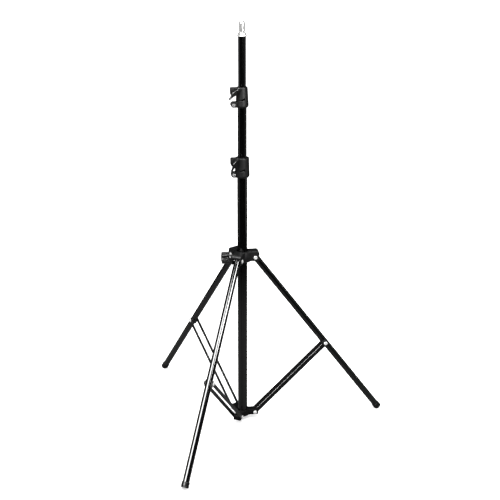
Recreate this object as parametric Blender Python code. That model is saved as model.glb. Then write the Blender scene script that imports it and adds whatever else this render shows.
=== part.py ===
"""Air-cushioned light stand on three folding legs, built as separate pieces.

The origin is the middle of the end plug's underside, +Z runs up the column, and leg 1 lies along +X.
Sizes here are in millimetres. A piece becomes metres when it is placed.
"""
import math

import bmesh
import bpy
from mathutils import Matrix, Vector

MM = 0.001

# Clearances
FIT = 0.3                    # between a piece and its seat
PIN_FIT = 0.3                # round a pin or a screw
WELD = 0.0001                # distance at which two points are one
OVERSHOOT = 1.0              # cutter past the face that it opens, or a piece into the one it joins

# Roundness
TUBE_SIDES = 28
HUB_SIDES = 36
KNOB_SIDES = 24
PISTON_SIDES = 20
PIVOT_SIDES = 16
SMALL_SIDES = 12
ARC_STEPS = 5
SMALL_ARC_STEPS = 3
KNUCKLE_STEPS = 8
LOBE_POINTS = 6

# Column tubes
BASE_TUBE_R = 14.0
MIDDLE_TUBE_R = 12.25
TOP_TUBE_R = 10.65
TUBE_WALL = 1.2
BASE_TUBE_LENGTH = 773.1
MIDDLE_TUBE_LENGTH = 740.0
TOP_TUBE_LENGTH = 700.0
MIDDLE_RISE = 197.7          # middle tube's top above the base tube's top, as the stand is set
TOP_RISE = 164.2             # top tube's top above the middle tube's top, as the stand is set

# Plug in the base tube's foot
PLUG_FLANGE = 3.0
PLUG_CHAMFER = 1.0
PLUG_INSET = 0.4             # flange inside the tube's outline
PLUG_SPIGOT = 19.0

# Legs and struts: pivot P on the leg collar, pivot Q on the clip, pivot B on the bottom bracket
PIVOT_R = 36.0
STRUT_PIVOT_Z = 10.4
LEG_ANGLE = math.radians(36.5)
LEG_REACH = 643.0            # P to the leg's lower end
CLIP_REACH = 355.0           # P to Q
STRUT_REACH = 301.0          # B to Q
LEG_R = 9.5
LEG_COUNT = 3

# Play for the two leg pivots and the collar bore, which the fold does not drive
COLLAR_PLAY = 2.6
OPEN_PIVOT_PLAY = 3.8

# Pivot rivets
RIVET_R = 2.5
RIVET_HEAD_R = 5.5
RIVET_HEAD = 1.8
RIVET_CROWN_R = 4.95
RIVET_CROWN_DROP = 0.7       # crown's edge below the dimple's rim
RIVET_DIMPLE_R = 1.8
RIVET_DIMPLE = 0.8

# Struts
STRUT_WIDTH = 11.5
STRUT_THICKNESS = 2.0

# Leg clip, foot and top plug
CLIP_WIDTH = 22.0
CLIP_LENGTH = 20.0
CLIP_CORNER = 7.0
CLIP_RIM = 5.0               # open edges of the clip beyond the leg's axis, on the leg's outer side
FOOT_R = 11.0
FOOT_LENGTH = 16.0
FOOT_FLOOR = 6.0
FOOT_CHAMFER = 1.0
SOLE_DEPTH = 3.4             # sole below the middle of the leg's lower end
TUBE_START = 11.0            # P to the leg tube's upper end
KNUCKLE_FLAT = 0.3           # flats on the knuckle inside the tube's outline
TOP_SPIGOT = 28.0

# Bottom bracket
BRACKET_RING_WALL = 5.2
BRACKET_LOW = 1.9
BRACKET_HIGH = 18.7
BRACKET_RING_PROUD = 0.6     # ring above and below the arms
BRACKET_END = 10.5           # arm beyond the strut pivot
BRACKET_TOP_ROUND = 5.0
BRACKET_FOOT_ROUND = 2.5
BRACKET_SCREW_R = 1.8
BRACKET_SCREW_HEAD_R = 4.0
BRACKET_SCREW_HEAD = 2.5
BRACKET_SCREW_RIM = 1.25     # straight part of the head
BRACKET_SCREW_CROWN_R = 2.4
BRACKET_SCREW_DEPTH = 10.8   # shank from its head

# Leg collar
ARM_HALF_WIDTH = 14.2
ARM_END = 11.6               # arm beyond the leg pivot
ARM_DROP = 10.6              # arm's underside below the pivot
ARM_RISE = 19.0              # arm's top above the pivot
ARM_TOP_ROUND = 8.0
ARM_FOOT_ROUND = 2.0
POCKET_HALF_WIDTH = 11.8
POCKET_START = 22.6
POCKET_ROOF = 4.0            # wall above the knuckle's pocket
HOOD_WALL = 2.2              # wall of the arm's rounded nose over the pocket
HOOD_LIP = 8.0               # nose's lower edge above the pivot
HOOD_ROUND = 3.6
HUB_R = 24.0
HUB_TOP_R = 19.5
HUB_SHOULDER = 7.0           # where the hub's cone starts, above the pivot
HUB_CHAMFER = 1.0
HUB_PROUD = 0.6              # hub above and below the arms

# Leg lock
LOCK_DROP = 0.7              # its axis below the pivot
BOSS_R = 7.5
BOSS_END = 35.2
INSERT_R = 5.7
INSERT_START = 20.5
LOCK_SCREW_R = 3.9
LOCK_SCREW_LENGTH = 32.7
LOCK_PAD_R = 5.0
LOCK_PAD = 2.4
LOCK_KNOB_R = 17.0
LOCK_KNOB_LOBES = 6
LOCK_KNOB_DEPTH = 3.2
LOCK_KNOB_LENGTH = 22.3
LOCK_KNOB_GAP = 2.8          # knob off its boss while the lock is open
LOCK_KNOB_TURN = math.radians(9.0)
LOCK_KNOB_EDGE = 0.88        # size of the knob's end faces
LOCK_KNOB_CHAMFER = 2.2

# Tube clamps
COLLAR_HEIGHT = 56.0
COLLAR_GRIP = 28.0           # collar below the end of the tube that it sits on
LOWER_WALL = 6.6
LOWER_TOP_WALL = 5.2
LOWER_TOP_CHAMFER = 0.6
UPPER_WALL = 5.75
UPPER_TOP_WALL = 2.95
UPPER_TOP_CHAMFER = 1.6
COLLAR_FOOT_CHAMFER = 3.2
COLLAR_FOOT_RISE = 4.0
COLLAR_LIP = 1.5
LIP_GAP = 0.5
BUSH_END = 1.8               # bush's top below the collar's top
SLIT = 2.4
EAR_HALF_WIDTH = 9.0
LOWER_EAR_STANDOFF = 3.7     # bolt axis outside the collar's foot
UPPER_EAR_STANDOFF = 6.3
FOOT_EAR_Z = 8.2
FOOT_EAR_R = 7.4
WING_EAR_Z = 43.0
WING_EAR_R = 8.2
WING_EAR_ROUND = 3.0
WING_EAR_HEEL = 6.0          # round at the ear block's lower outer edge
NOTCH_X = 5.0
NOTCH_TOP_Z = 34.7
NOTCH_MOUTH = 1.2
NOTCH_SLOPE = [(-7.0, 23.5), (-20.0, 20.0)]

# Clamp fasteners
BOLT_R = 2.5
BOLT_HEAD_R = 4.6
BOLT_HEAD = 3.5
BOLT_EDGE = 0.8
BOLT_RECESS_R = 2.0
BOLT_RECESS = 1.5
NUT_FLATS = 8.0
NUT_HEIGHT = 4.0
WING_SCREW_R = 3.0
WING_NUT_FLATS = 10.0
WING_NUT_HEIGHT = 5.0
THREAD_END = 1.2             # screw beyond its nut

# Wing knobs
WING_REACH = 22.0
WING_DEPTH = 9.5
WING_CLEAR = 0.6             # wings outside the collar's foot
WING_TIP_R = 1.9
WING_ROOT_R = 5.4
WING_BELL = 9.0              # how far the wing's root flares
WING_POINTS = 11
WING_HUB_R = 6.6
WING_HUB_INSET = 1.5         # hub's end inside the wings' end
WING_HUB_CHAMFER = 1.2
WING_HOLE_FLOOR = 3.0
LOWER_WING_ANGLE = math.radians(64.0)
UPPER_WING_ANGLE = math.radians(49.0)

# Air cushion pistons
PISTON_HEAD = 18.0
PISTON_GAP = 0.5
PISTON_SPIGOT = 20.0
PISTON_BLEED_R = 1.0
PISTON_CHAMFER = 1.0
SEAL_HEIGHT = 3.4
SEAL_CROWN = 0.3
SEAL_GROOVE_FLOOR = 1.8      # groove's floor inside the piston's outline
SEAL_MIDDLE = 9.0            # ring's middle below the tube's end

# Stud on the top tube
STUD_SPIGOT = 25.0
STUD_FLANGE_R = 12.8
STUD_FLANGE = 2.5
STUD_HEX_FLATS = 20.4
STUD_HEX_TOP_FLATS = 17.6
STUD_HEX = 7.0
STUD_NECK_R = 6.5
STUD_NECK = 2.9
STUD_PIN_R = 8.0
STUD_PIN = 21.3
STUD_NOSE = 8.1
STUD_NOSE_R = 4.5
STUD_NOSE_CURVE = [(7.5, 2.4), (6.4, 5.7)]   # radius and height above the straight pin
STUD_EDGE = 0.8

# Worked out from the sizes above
STRUT_ANGLE = math.asin(CLIP_REACH * math.sin(LEG_ANGLE) / STRUT_REACH)
CLIP_Z = STRUT_PIVOT_Z + STRUT_REACH * math.cos(STRUT_ANGLE)
LEG_PIVOT_Z = CLIP_Z + CLIP_REACH * math.cos(LEG_ANGLE)
FLOOR_Z = LEG_PIVOT_Z - LEG_REACH * math.cos(LEG_ANGLE) - SOLE_DEPTH
BASE_TUBE_FOOT = PLUG_FLANGE + FIT
BASE_TUBE_TOP = BASE_TUBE_FOOT + BASE_TUBE_LENGTH
RIVET_HOLE_R = RIVET_R + PIN_FIT
STRUT_INNER = CLIP_WIDTH / 2 + FIT
STRUT_OUTER = STRUT_INNER + STRUT_THICKNESS
COLLAR_BORE_R = BASE_TUBE_R + COLLAR_PLAY
LEG_TURN = math.tau / LEG_COUNT

# Finishes: colour, roughness, metallic
FINISHES = {
    "black_tube_paint": ((0.012, 0.012, 0.013), 0.28, 0.0),
    "dark_moulded_plastic": ((0.035, 0.035, 0.037), 0.55, 0.0),
    "black_strut_paint": ((0.02, 0.02, 0.021), 0.4, 0.0),
    "bright_nickel": ((0.78, 0.77, 0.75), 0.2, 1.0),
    "zinc_steel": ((0.6, 0.6, 0.6), 0.35, 1.0),
    "black_rubber": ((0.01, 0.01, 0.01), 0.8, 0.0),
    "grey_acetal": ((0.25, 0.25, 0.26), 0.5, 0.0),
}

# Where an outline's two numbers and its height go, for each axis that a piece is made along
AXES = {
    "X": lambda u, v, height: Vector((height, u, v)),
    "Y": lambda u, v, height: Vector((u, height, v)),
    "Z": lambda u, v, height: Vector((u, v, height)),
}


def clear_scene():
    """Empties the file of objects."""
    for old in list(bpy.data.objects):
        bpy.data.objects.remove(old)


def finish_material(name):
    """Makes a finish once and hands back the same material after that."""
    material = bpy.data.materials.get(name)
    if material is None:
        colour, roughness, metallic = FINISHES[name]
        material = bpy.data.materials.new(name)
        material.use_nodes = True
        shader = material.node_tree.nodes["Principled BSDF"]
        shader.inputs["Base Color"].default_value = (*colour, 1.0)
        shader.inputs["Roughness"].default_value = roughness
        shader.inputs["Metallic"].default_value = metallic
        material.diffuse_color = (*colour, 1.0)
    return material


def body_from(bm):
    """Turns a closed bmesh into an object, faces out."""
    bmesh.ops.recalc_face_normals(bm, faces=bm.faces[:])
    mesh = bpy.data.meshes.new("body")
    bm.to_mesh(mesh)
    bm.free()
    body = bpy.data.objects.new("body", mesh)
    bpy.context.collection.objects.link(body)
    return body


def turned(profile, axis="Z", centre=(0, 0, 0), sides=TUBE_SIDES):
    """Spins a (radius, height) profile about an axis. A profile that meets the axis ends on it."""
    bm = bmesh.new()
    put = AXES[axis]
    points = [bm.verts.new(put(radius, 0, height) + Vector(centre)) for radius, height in profile]
    after = points[1:]
    if min(radius for radius, _ in profile) > 0:
        after = points[1:] + points[:1]
    edges = [bm.edges.new(pair) for pair in zip(points, after)]
    bmesh.ops.spin(bm, geom=points + edges, cent=centre, axis=put(0, 0, 1), angle=math.tau, steps=sides)
    bmesh.ops.remove_doubles(bm, verts=bm.verts[:], dist=WELD)
    return body_from(bm)


def rod(radius, low, high, axis="Z", centre=(0, 0, 0), sides=SMALL_SIDES):
    """A plain round bar or hole cutter."""
    return turned([(0, low), (radius, low), (radius, high), (0, high)], axis, centre, sides)


def stacked(outline, stations, axis="Z", centre=(0, 0, 0)):
    """Extrudes an outline through (height, size) stations, its size about the axis."""
    bm = bmesh.new()
    put = AXES[axis]
    height, size = stations[0]
    rim = [bm.verts.new(put(u * size, v * size, height) + Vector(centre)) for u, v in outline]
    face = bm.faces.new(rim)
    inner = []
    for next_height, next_size in stations[1:]:
        grown = bmesh.ops.extrude_face_region(bm, geom=[face])["geom"]
        bmesh.ops.delete(bm, geom=inner, context="FACES_ONLY")
        rim = [item for item in grown if isinstance(item, bmesh.types.BMVert)]
        face = next(item for item in grown if isinstance(item, bmesh.types.BMFace))
        inner = [face]
        ratio = next_size / size
        across = put(ratio, ratio, 1)
        bmesh.ops.scale(bm, vec=across, verts=rim, space=Matrix.Translation(-Vector(centre)))
        bmesh.ops.translate(bm, vec=put(0, 0, next_height - height), verts=rim)
        height, size = next_height, next_size
    return body_from(bm)


def extruded(outline, low, high, axis="Z", centre=(0, 0, 0)):
    """Extrudes an outline from one height to another."""
    bm = bmesh.new()
    put = AXES[axis]
    face = bm.faces.new([bm.verts.new(put(u, v, low) + Vector(centre)) for u, v in outline])
    grown = bmesh.ops.extrude_face_region(bm, geom=[face])["geom"]
    rim = [item for item in grown if isinstance(item, bmesh.types.BMVert)]
    bmesh.ops.translate(bm, vec=put(0, 0, high - low), verts=rim)
    return body_from(bm)


def spun_copy(body, angle):
    """Turns a body about the column's axis."""
    body.data.transform(Matrix.Rotation(angle, 4, "Z"))
    return body


def bake(body):
    """Keeps the result of a body's modifiers as its mesh."""
    bpy.context.view_layer.update()
    evaluated = body.evaluated_get(bpy.context.evaluated_depsgraph_get())
    mesh = bpy.data.meshes.new_from_object(evaluated)
    body.modifiers.clear()
    body.data = mesh
    return body


def boolean(body, tool, operation):
    """Joins, cuts or crosses a body with a tool, which is used up."""
    modifier = body.modifiers.new("Boolean", "BOOLEAN")
    modifier.operation = operation
    modifier.solver = "EXACT"
    modifier.object = tool
    bake(body)
    bpy.data.objects.remove(tool)
    return body


def joined(body, *tools):
    """Adds each tool to the body."""
    for tool in tools:
        boolean(body, tool, "UNION")
    return body


def cut(body, *tools):
    """Takes each tool out of the body."""
    for tool in tools:
        boolean(body, tool, "DIFFERENCE")
    return body


def arc(centre_u, centre_v, radius, start, end, steps=ARC_STEPS):
    """Points along an arc, angles in degrees."""
    angles = [math.radians(start + (end - start) * step / steps) for step in range(steps + 1)]
    return [(centre_u + radius * math.cos(a), centre_v + radius * math.sin(a)) for a in angles]


def polygon(flats, corners=6):
    """A regular outline by its width across flats, one flat facing +V."""
    radius = flats / 2 / math.cos(math.pi / corners)
    turn = math.tau / corners
    angles = [turn * step for step in range(corners)]
    return [(radius * math.cos(a), radius * math.sin(a)) for a in angles]


def stadium(start, end, radius):
    """A bar with round ends about two pivots on the U axis."""
    steps = ARC_STEPS + 1
    return arc(end, 0, radius, -90, 90, steps) + arc(start, 0, radius, 90, 270, steps)


def rounded_square(width, corner):
    """A square outline with round corners."""
    reach = width / 2 - corner
    outline = []
    for quarter, (u, v) in enumerate([(reach, reach), (-reach, reach), (-reach, -reach), (reach, -reach)]):
        outline += arc(u, v, corner, 90 * quarter, 90 * quarter + 90, SMALL_ARC_STEPS)
    return outline


def place(name, body, finish, station=None):
    """Names a finished body, gives it its finish and hangs it on its station."""
    body.data.transform(Matrix.Scale(MM, 4))
    body.name = name
    body.data.name = name
    body.data.materials.clear()
    body.data.materials.append(finish_material(finish))
    body.data.shade_smooth()
    body.data.set_sharp_from_angle(angle=math.radians(30))
    body.parent = station
    return body


def station(name, parent, location=(0, 0, 0), tilt=0.0, turn=0.0):
    """An empty that pieces hang on: tilt about its Y axis, then turn about its Z axis."""
    empty = bpy.data.objects.new(name, None)
    empty.empty_display_size = 0.02
    empty.location = Vector(location) * MM
    empty.rotation_euler = (0, tilt, turn)
    empty.parent = parent
    bpy.context.collection.objects.link(empty)
    return empty


def tube(radius, low, high, wall=TUBE_WALL, axis="Z"):
    """A round tube."""
    return turned([(radius - wall, low), (radius, low), (radius, high), (radius - wall, high)], axis)


def rivet(half_length):
    """A rivet along Y with a domed head at each end and a dimple in each head."""
    crown = half_length - RIVET_HEAD
    face = [(0, half_length - RIVET_DIMPLE), (RIVET_DIMPLE_R, half_length),
            (RIVET_CROWN_R, half_length - RIVET_CROWN_DROP), (RIVET_HEAD_R, crown), (RIVET_R, crown)]
    other = [(radius, -height) for radius, height in reversed(face)]
    return turned(face + other, "Y", sides=SMALL_SIDES)


def nut(flats, height, hole_r, face_y, centre):
    """A hexagon nut standing on a face, its axis along Y."""
    body = extruded(polygon(flats), face_y, face_y + height, "Y", centre)
    return cut(body, rod(hole_r, face_y - OVERSHOOT, face_y + height + OVERSHOOT, "Y", centre))


# Base section

def make_base_tube(column):
    """The lowest tube, with the hole for the bracket's screw."""
    body = tube(BASE_TUBE_R, BASE_TUBE_FOOT, BASE_TUBE_TOP)
    cut(body, bracket_screw_hole())
    place("base_tube", body, "black_tube_paint", column)


def bracket_screw_hole():
    """The hole for the bracket's screw, through the bracket and the tube and into the plug."""
    outside = BASE_TUBE_R + FIT + BRACKET_RING_WALL
    inside = outside - BRACKET_SCREW_DEPTH
    return rod(BRACKET_SCREW_R + PIN_FIT, -outside - OVERSHOOT, -inside, "X", (0, 0, STRUT_PIVOT_Z))


def make_base_end_plug(column):
    """The plug that closes the base tube's foot and stands on the ground side of it."""
    flange_r = BASE_TUBE_R - PLUG_INSET
    spigot_r = BASE_TUBE_R - TUBE_WALL - FIT
    top = PLUG_FLANGE + PLUG_SPIGOT
    body = turned([(0, 0), (flange_r - PLUG_CHAMFER, 0), (flange_r, PLUG_CHAMFER), (flange_r, PLUG_FLANGE),
                   (spigot_r, PLUG_FLANGE), (spigot_r, top), (0, top)])
    cut(body, bracket_screw_hole())
    place("base_end_plug", body, "dark_moulded_plastic", column)


def make_bottom_bracket(column):
    """The ring on the base tube's foot with an arm for each strut."""
    ring_r = BASE_TUBE_R + FIT + BRACKET_RING_WALL
    reach = PIVOT_R + BRACKET_END
    low, high = BRACKET_LOW, BRACKET_HIGH
    side = [(0, low)]
    side += arc(reach - BRACKET_FOOT_ROUND, low + BRACKET_FOOT_ROUND, BRACKET_FOOT_ROUND, -90, 0,
                SMALL_ARC_STEPS)
    side += arc(reach - BRACKET_TOP_ROUND, high - BRACKET_TOP_ROUND, BRACKET_TOP_ROUND, 0, 90)
    side += [(0, high)]
    ring_low = low - BRACKET_RING_PROUD
    ring_high = high + BRACKET_RING_PROUD
    body = rod(ring_r, ring_low, ring_high, sides=TUBE_SIDES)
    half = STRUT_INNER - FIT
    for arm in range(LEG_COUNT):
        joined(body, spun_copy(extruded(side, -half, half, "Y"), arm * LEG_TURN))
    cut(body, rod(BASE_TUBE_R + FIT, ring_low - OVERSHOOT, ring_high + OVERSHOOT, sides=TUBE_SIDES))
    for arm in range(LEG_COUNT):
        hole = rod(RIVET_HOLE_R, -STRUT_OUTER, STRUT_OUTER, "Y", (PIVOT_R, 0, STRUT_PIVOT_Z))
        cut(body, spun_copy(hole, arm * LEG_TURN))
    cut(body, bracket_screw_hole())
    place("bottom_bracket", body, "dark_moulded_plastic", column)


def make_bracket_screw(column):
    """The screw through the bracket and the tube into the plug."""
    seat = BASE_TUBE_R + FIT + BRACKET_RING_WALL + FIT
    end = seat + BRACKET_SCREW_HEAD
    tip = seat - BRACKET_SCREW_DEPTH + FIT
    profile = [(0, -tip), (BRACKET_SCREW_R, -tip), (BRACKET_SCREW_R, -seat), (BRACKET_SCREW_HEAD_R, -seat),
               (BRACKET_SCREW_HEAD_R, -seat - BRACKET_SCREW_RIM), (BRACKET_SCREW_CROWN_R, -end), (0, -end)]
    body = turned(profile, "X", (0, 0, STRUT_PIVOT_Z), SMALL_SIDES)
    place("bottom_bracket_screw", body, "zinc_steel", column)


# Sliding sections

def make_section_tube(name, radius, length, section):
    """A section's tube hangs down from its top end, where the section's station is."""
    place(name, tube(radius, -length, 0), "black_tube_paint", section)


def make_piston(name, ring_name, tube_r, bore_r, length, section):
    """The air cushion's piston in the tube's lower end, and the rubber ring in its groove."""
    spigot_r = tube_r - TUBE_WALL - FIT
    head_r = bore_r - PISTON_GAP
    end = -length - FIT
    groove_r = head_r - SEAL_GROOVE_FLOOR
    ring_low = end - SEAL_MIDDLE - SEAL_HEIGHT / 2
    ring_high = ring_low + SEAL_HEIGHT
    body = turned([(PISTON_BLEED_R, end - PISTON_HEAD), (head_r - PISTON_CHAMFER, end - PISTON_HEAD),
                   (head_r, end - PISTON_HEAD + PISTON_CHAMFER), (head_r, ring_low - FIT),
                   (groove_r, ring_low - FIT), (groove_r, ring_high + FIT), (head_r, ring_high + FIT),
                   (head_r, end), (spigot_r, end), (spigot_r, end + PISTON_SPIGOT),
                   (PISTON_BLEED_R, end + PISTON_SPIGOT)], sides=PISTON_SIDES)
    place(name, body, "grey_acetal", section)
    seal_r = bore_r - FIT
    edge_r = seal_r - SEAL_CROWN
    ring = turned([(groove_r + FIT, ring_low), (edge_r, ring_low), (seal_r, (ring_low + ring_high) / 2),
                   (edge_r, ring_high), (groove_r + FIT, ring_high)], sides=PISTON_SIDES)
    place(ring_name, ring, "black_rubber", section)


def make_stud(section):
    """The lighting stud: spigot in the tube, flange, tapered hexagon, neck and pin with a domed nose."""
    spigot_r = TOP_TUBE_R - TUBE_WALL - FIT
    seat = FIT
    hex_low = seat + STUD_FLANGE
    neck_low = hex_low + STUD_HEX
    pin_low = neck_low + STUD_NECK
    pin_high = pin_low + STUD_PIN
    crown = pin_high + STUD_NOSE
    nose = [(radius, pin_high + rise) for radius, rise in STUD_NOSE_CURVE]
    body = turned([(0, -STUD_SPIGOT), (spigot_r, -STUD_SPIGOT), (spigot_r, seat),
                   (STUD_FLANGE_R - STUD_EDGE, seat), (STUD_FLANGE_R, seat + STUD_EDGE), (STUD_FLANGE_R, hex_low - STUD_EDGE),
                   (STUD_FLANGE_R - STUD_EDGE, hex_low), (STUD_NECK_R, hex_low), (STUD_NECK_R, pin_low),
                   (STUD_PIN_R - STUD_EDGE, pin_low), (STUD_PIN_R, pin_low + STUD_EDGE),
                   (STUD_PIN_R, pin_high), *nose, (STUD_NOSE_R, crown), (0, crown)], sides=KNOB_SIDES)
    hexagon = stacked(polygon(STUD_HEX_FLATS), [(hex_low - STUD_EDGE, 1.0), (hex_low, 1.0),
                                                (neck_low, STUD_HEX_TOP_FLATS / STUD_HEX_FLATS)])
    joined(body, hexagon)
    place("stud", body, "bright_nickel", section)


# Tube clamps

def make_lock_collar(level, tube_r, sliding_r, wall, top_wall, top_chamfer, standoff, wing_angle, section):
    """A split collar on the end of one tube, with the bush that the next tube slides in.

    The section's station is at the end of the tube that the collar sits on.
    """
    foot = -COLLAR_GRIP
    top = foot + COLLAR_HEIGHT
    foot_r = tube_r + wall
    top_r = tube_r + top_wall
    bore_r = tube_r + FIT
    axis_x = -(foot_r + standoff)
    foot_ear = (axis_x, 0, foot + FOOT_EAR_Z)
    wing_ear = (axis_x, 0, foot + WING_EAR_Z)
    half = EAR_HALF_WIDTH

    body = turned([(0, foot), (foot_r - COLLAR_FOOT_CHAMFER, foot), (foot_r, foot + COLLAR_FOOT_RISE),
                   (top_r, top - top_chamfer), (top_r - top_chamfer, top), (0, top)])
    lug = arc(foot_ear[0], foot_ear[2], FOOT_EAR_R, 90, 270) + [(0, foot_ear[2] - FOOT_EAR_R),
                                                                (0, foot_ear[2] + FOOT_EAR_R)]
    end_x = axis_x - WING_EAR_R
    low = foot + NOTCH_TOP_Z - OVERSHOOT
    high = top - top_chamfer
    block = arc(end_x + WING_EAR_ROUND, high - WING_EAR_ROUND, WING_EAR_ROUND, 90, 180, SMALL_ARC_STEPS)
    block += arc(end_x + WING_EAR_HEEL, low + WING_EAR_HEEL, WING_EAR_HEEL, 180, 270)
    block += [(0, low), (0, high)]
    joined(body, extruded(lug, -half, half, "Y"), extruded(block, -half, half, "Y"))

    slope = [(x, foot + z) for x, z in NOTCH_SLOPE]
    far = axis_x * 2
    notch = [(NOTCH_X, foot + NOTCH_TOP_Z), (NOTCH_X, foot + NOTCH_TOP_Z - NOTCH_MOUTH)] + slope
    notch += [(far, slope[-1][1]), (far, foot + NOTCH_TOP_Z)]
    below = foot - OVERSHOOT
    above = top + OVERSHOOT
    lip_r = sliding_r + LIP_GAP
    bore = turned([(0, below), (bore_r, below), (bore_r, top - COLLAR_LIP), (lip_r, top - COLLAR_LIP),
                   (lip_r, above), (0, above)])
    slit = extruded([(far, -SLIT / 2), (0, -SLIT / 2), (0, SLIT / 2), (far, SLIT / 2)], below, above)
    side = foot_r + OVERSHOOT
    past = half + OVERSHOOT
    cut(body, bore, slit, extruded(notch, -side, side, "Y"),
        rod(BOLT_R + PIN_FIT, -past, past, "Y", foot_ear),
        rod(WING_SCREW_R + PIN_FIT, -past, past, "Y", wing_ear))
    place(f"{level}_lock_collar", body, "dark_moulded_plastic", section)

    bush_r = sliding_r + FIT
    bush = tube(tube_r, FIT * 2, top - BUSH_END, tube_r - bush_r)
    place(f"{level}_guide_bush", bush, "grey_acetal", section)
    make_clamp_bolt(level, foot_ear, section)
    make_wing_knob(level, foot_r, wing_ear, wing_angle, section)


def make_clamp_bolt(level, ear, section):
    """The fixed bolt through the collar's lower ears and its nut."""
    seat = -EAR_HALF_WIDTH - FIT
    crown = seat - BOLT_HEAD
    tip = -seat + NUT_HEIGHT + THREAD_END
    body = turned([(0, crown + BOLT_RECESS), (BOLT_RECESS_R, crown + BOLT_RECESS), (BOLT_RECESS_R, crown),
                   (BOLT_HEAD_R - BOLT_EDGE, crown), (BOLT_HEAD_R, crown + BOLT_EDGE), (BOLT_HEAD_R, seat),
                   (BOLT_R, seat), (BOLT_R, tip), (0, tip)], "Y", ear, SMALL_SIDES)
    place(f"{level}_clamp_bolt", body, "bright_nickel", section)
    place(f"{level}_clamp_nut", nut(NUT_FLATS, NUT_HEIGHT, BOLT_R + PIN_FIT, -seat, ear), "zinc_steel", section)


def wing_outline():
    """Both wings seen along the screw: their half width swells to the root as a bell curve."""
    reach = WING_REACH - WING_TIP_R
    steps = WING_POINTS - 1
    along = [reach - 2 * reach * step / steps for step in range(WING_POINTS)]
    edge = [(u, WING_TIP_R + (WING_ROOT_R - WING_TIP_R) * math.exp(-(u / WING_BELL) ** 2)) for u in along]
    right = arc(reach, 0, WING_TIP_R, -60, 60, SMALL_ARC_STEPS)
    left = arc(-reach, 0, WING_TIP_R, 120, 240, SMALL_ARC_STEPS)
    return right + edge + left + [(-u, -v) for u, v in edge]


def make_wing_knob(level, foot_r, ear, angle, section):
    """The knob outside the upper ears, its screw through them and the nut that the screw draws on."""
    axis = station(f"{level}_wing_axis", section, ear)
    seat = EAR_HALF_WIDTH + FIT
    wing_low = foot_r + WING_CLEAR
    wing_high = wing_low + WING_DEPTH
    hub_high = wing_high - WING_HUB_INSET
    hole_floor = hub_high - WING_HOLE_FLOOR
    body = turned([(0, -seat), (WING_HUB_R, -seat), (WING_HUB_R, -hub_high + WING_HUB_CHAMFER),
                   (WING_HUB_R - WING_HUB_CHAMFER, -hub_high), (0, -hub_high)], "Y", sides=KNOB_SIDES)
    wings = extruded(wing_outline(), -wing_high, -wing_low, "Y")
    wings.data.transform(Matrix.Rotation(-angle, 4, "Y"))
    joined(body, wings)
    cut(body, rod(WING_SCREW_R + PIN_FIT, -hole_floor, 0, "Y"))
    place(f"{level}_wing_knob", body, "dark_moulded_plastic", axis)
    tip = seat + WING_NUT_HEIGHT + THREAD_END
    place(f"{level}_wing_screw", rod(WING_SCREW_R, -hole_floor + FIT, tip, "Y"), "zinc_steel", axis)
    place(f"{level}_wing_nut", nut(WING_NUT_FLATS, WING_NUT_HEIGHT, WING_SCREW_R + PIN_FIT, seat, (0, 0, 0)),
          "zinc_steel", axis)


# Legs

def make_struts(number, pivot):
    """The two flat bars of one strut, from pivot B to pivot Q along the station's X axis."""
    for side, sign in (("left", 1), ("right", -1)):
        inner, outer = sorted((sign * STRUT_INNER, sign * STRUT_OUTER))
        body = extruded(stadium(0, STRUT_REACH, STRUT_WIDTH / 2), inner, outer, "Y")
        low, high = inner - OVERSHOOT, outer + OVERSHOOT
        cut(body, rod(RIVET_HOLE_R, low, high, "Y"), rod(RIVET_HOLE_R, low, high, "Y", (STRUT_REACH, 0, 0)))
        place(f"strut_{number}_{side}", body, "black_strut_paint", pivot)
    place(f"bottom_rivet_{number}", rivet(STRUT_OUTER + FIT + RIVET_HEAD), "bright_nickel", pivot)


def make_leg(number, pivot):
    """One leg along the X axis of its station at pivot Q, and the clip that saddles it from below."""
    upper = -CLIP_REACH
    lower = LEG_REACH - CLIP_REACH
    pin_hole = rod(RIVET_HOLE_R, -CLIP_WIDTH, CLIP_WIDTH, "Y")
    body = cut(tube(LEG_R, upper + TUBE_START, lower - FOOT_FLOOR - FIT, axis="X"), pin_hole)
    place(f"leg_tube_{number}", body, "black_tube_paint", pivot)

    clip = extruded(rounded_square(CLIP_WIDTH, CLIP_CORNER), -CLIP_LENGTH / 2, CLIP_LENGTH / 2, "X")
    mouth = [(-CLIP_WIDTH, CLIP_RIM), (CLIP_WIDTH, CLIP_RIM), (CLIP_WIDTH, CLIP_WIDTH), (-CLIP_WIDTH, CLIP_WIDTH)]
    cut(clip, rod(LEG_R + FIT, -CLIP_LENGTH, CLIP_LENGTH, "X", sides=TUBE_SIDES),
        extruded(mouth, -CLIP_LENGTH, CLIP_LENGTH, "X"), rod(RIVET_HOLE_R, -CLIP_WIDTH, CLIP_WIDTH, "Y"))
    place(f"leg_clip_{number}", clip, "dark_moulded_plastic", pivot)
    place(f"mid_rivet_{number}", rivet(STRUT_OUTER + FIT + RIVET_HEAD), "bright_nickel", pivot)

    make_leg_top_plug(number, upper, pivot)
    make_leg_foot(number, lower, pivot)


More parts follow.
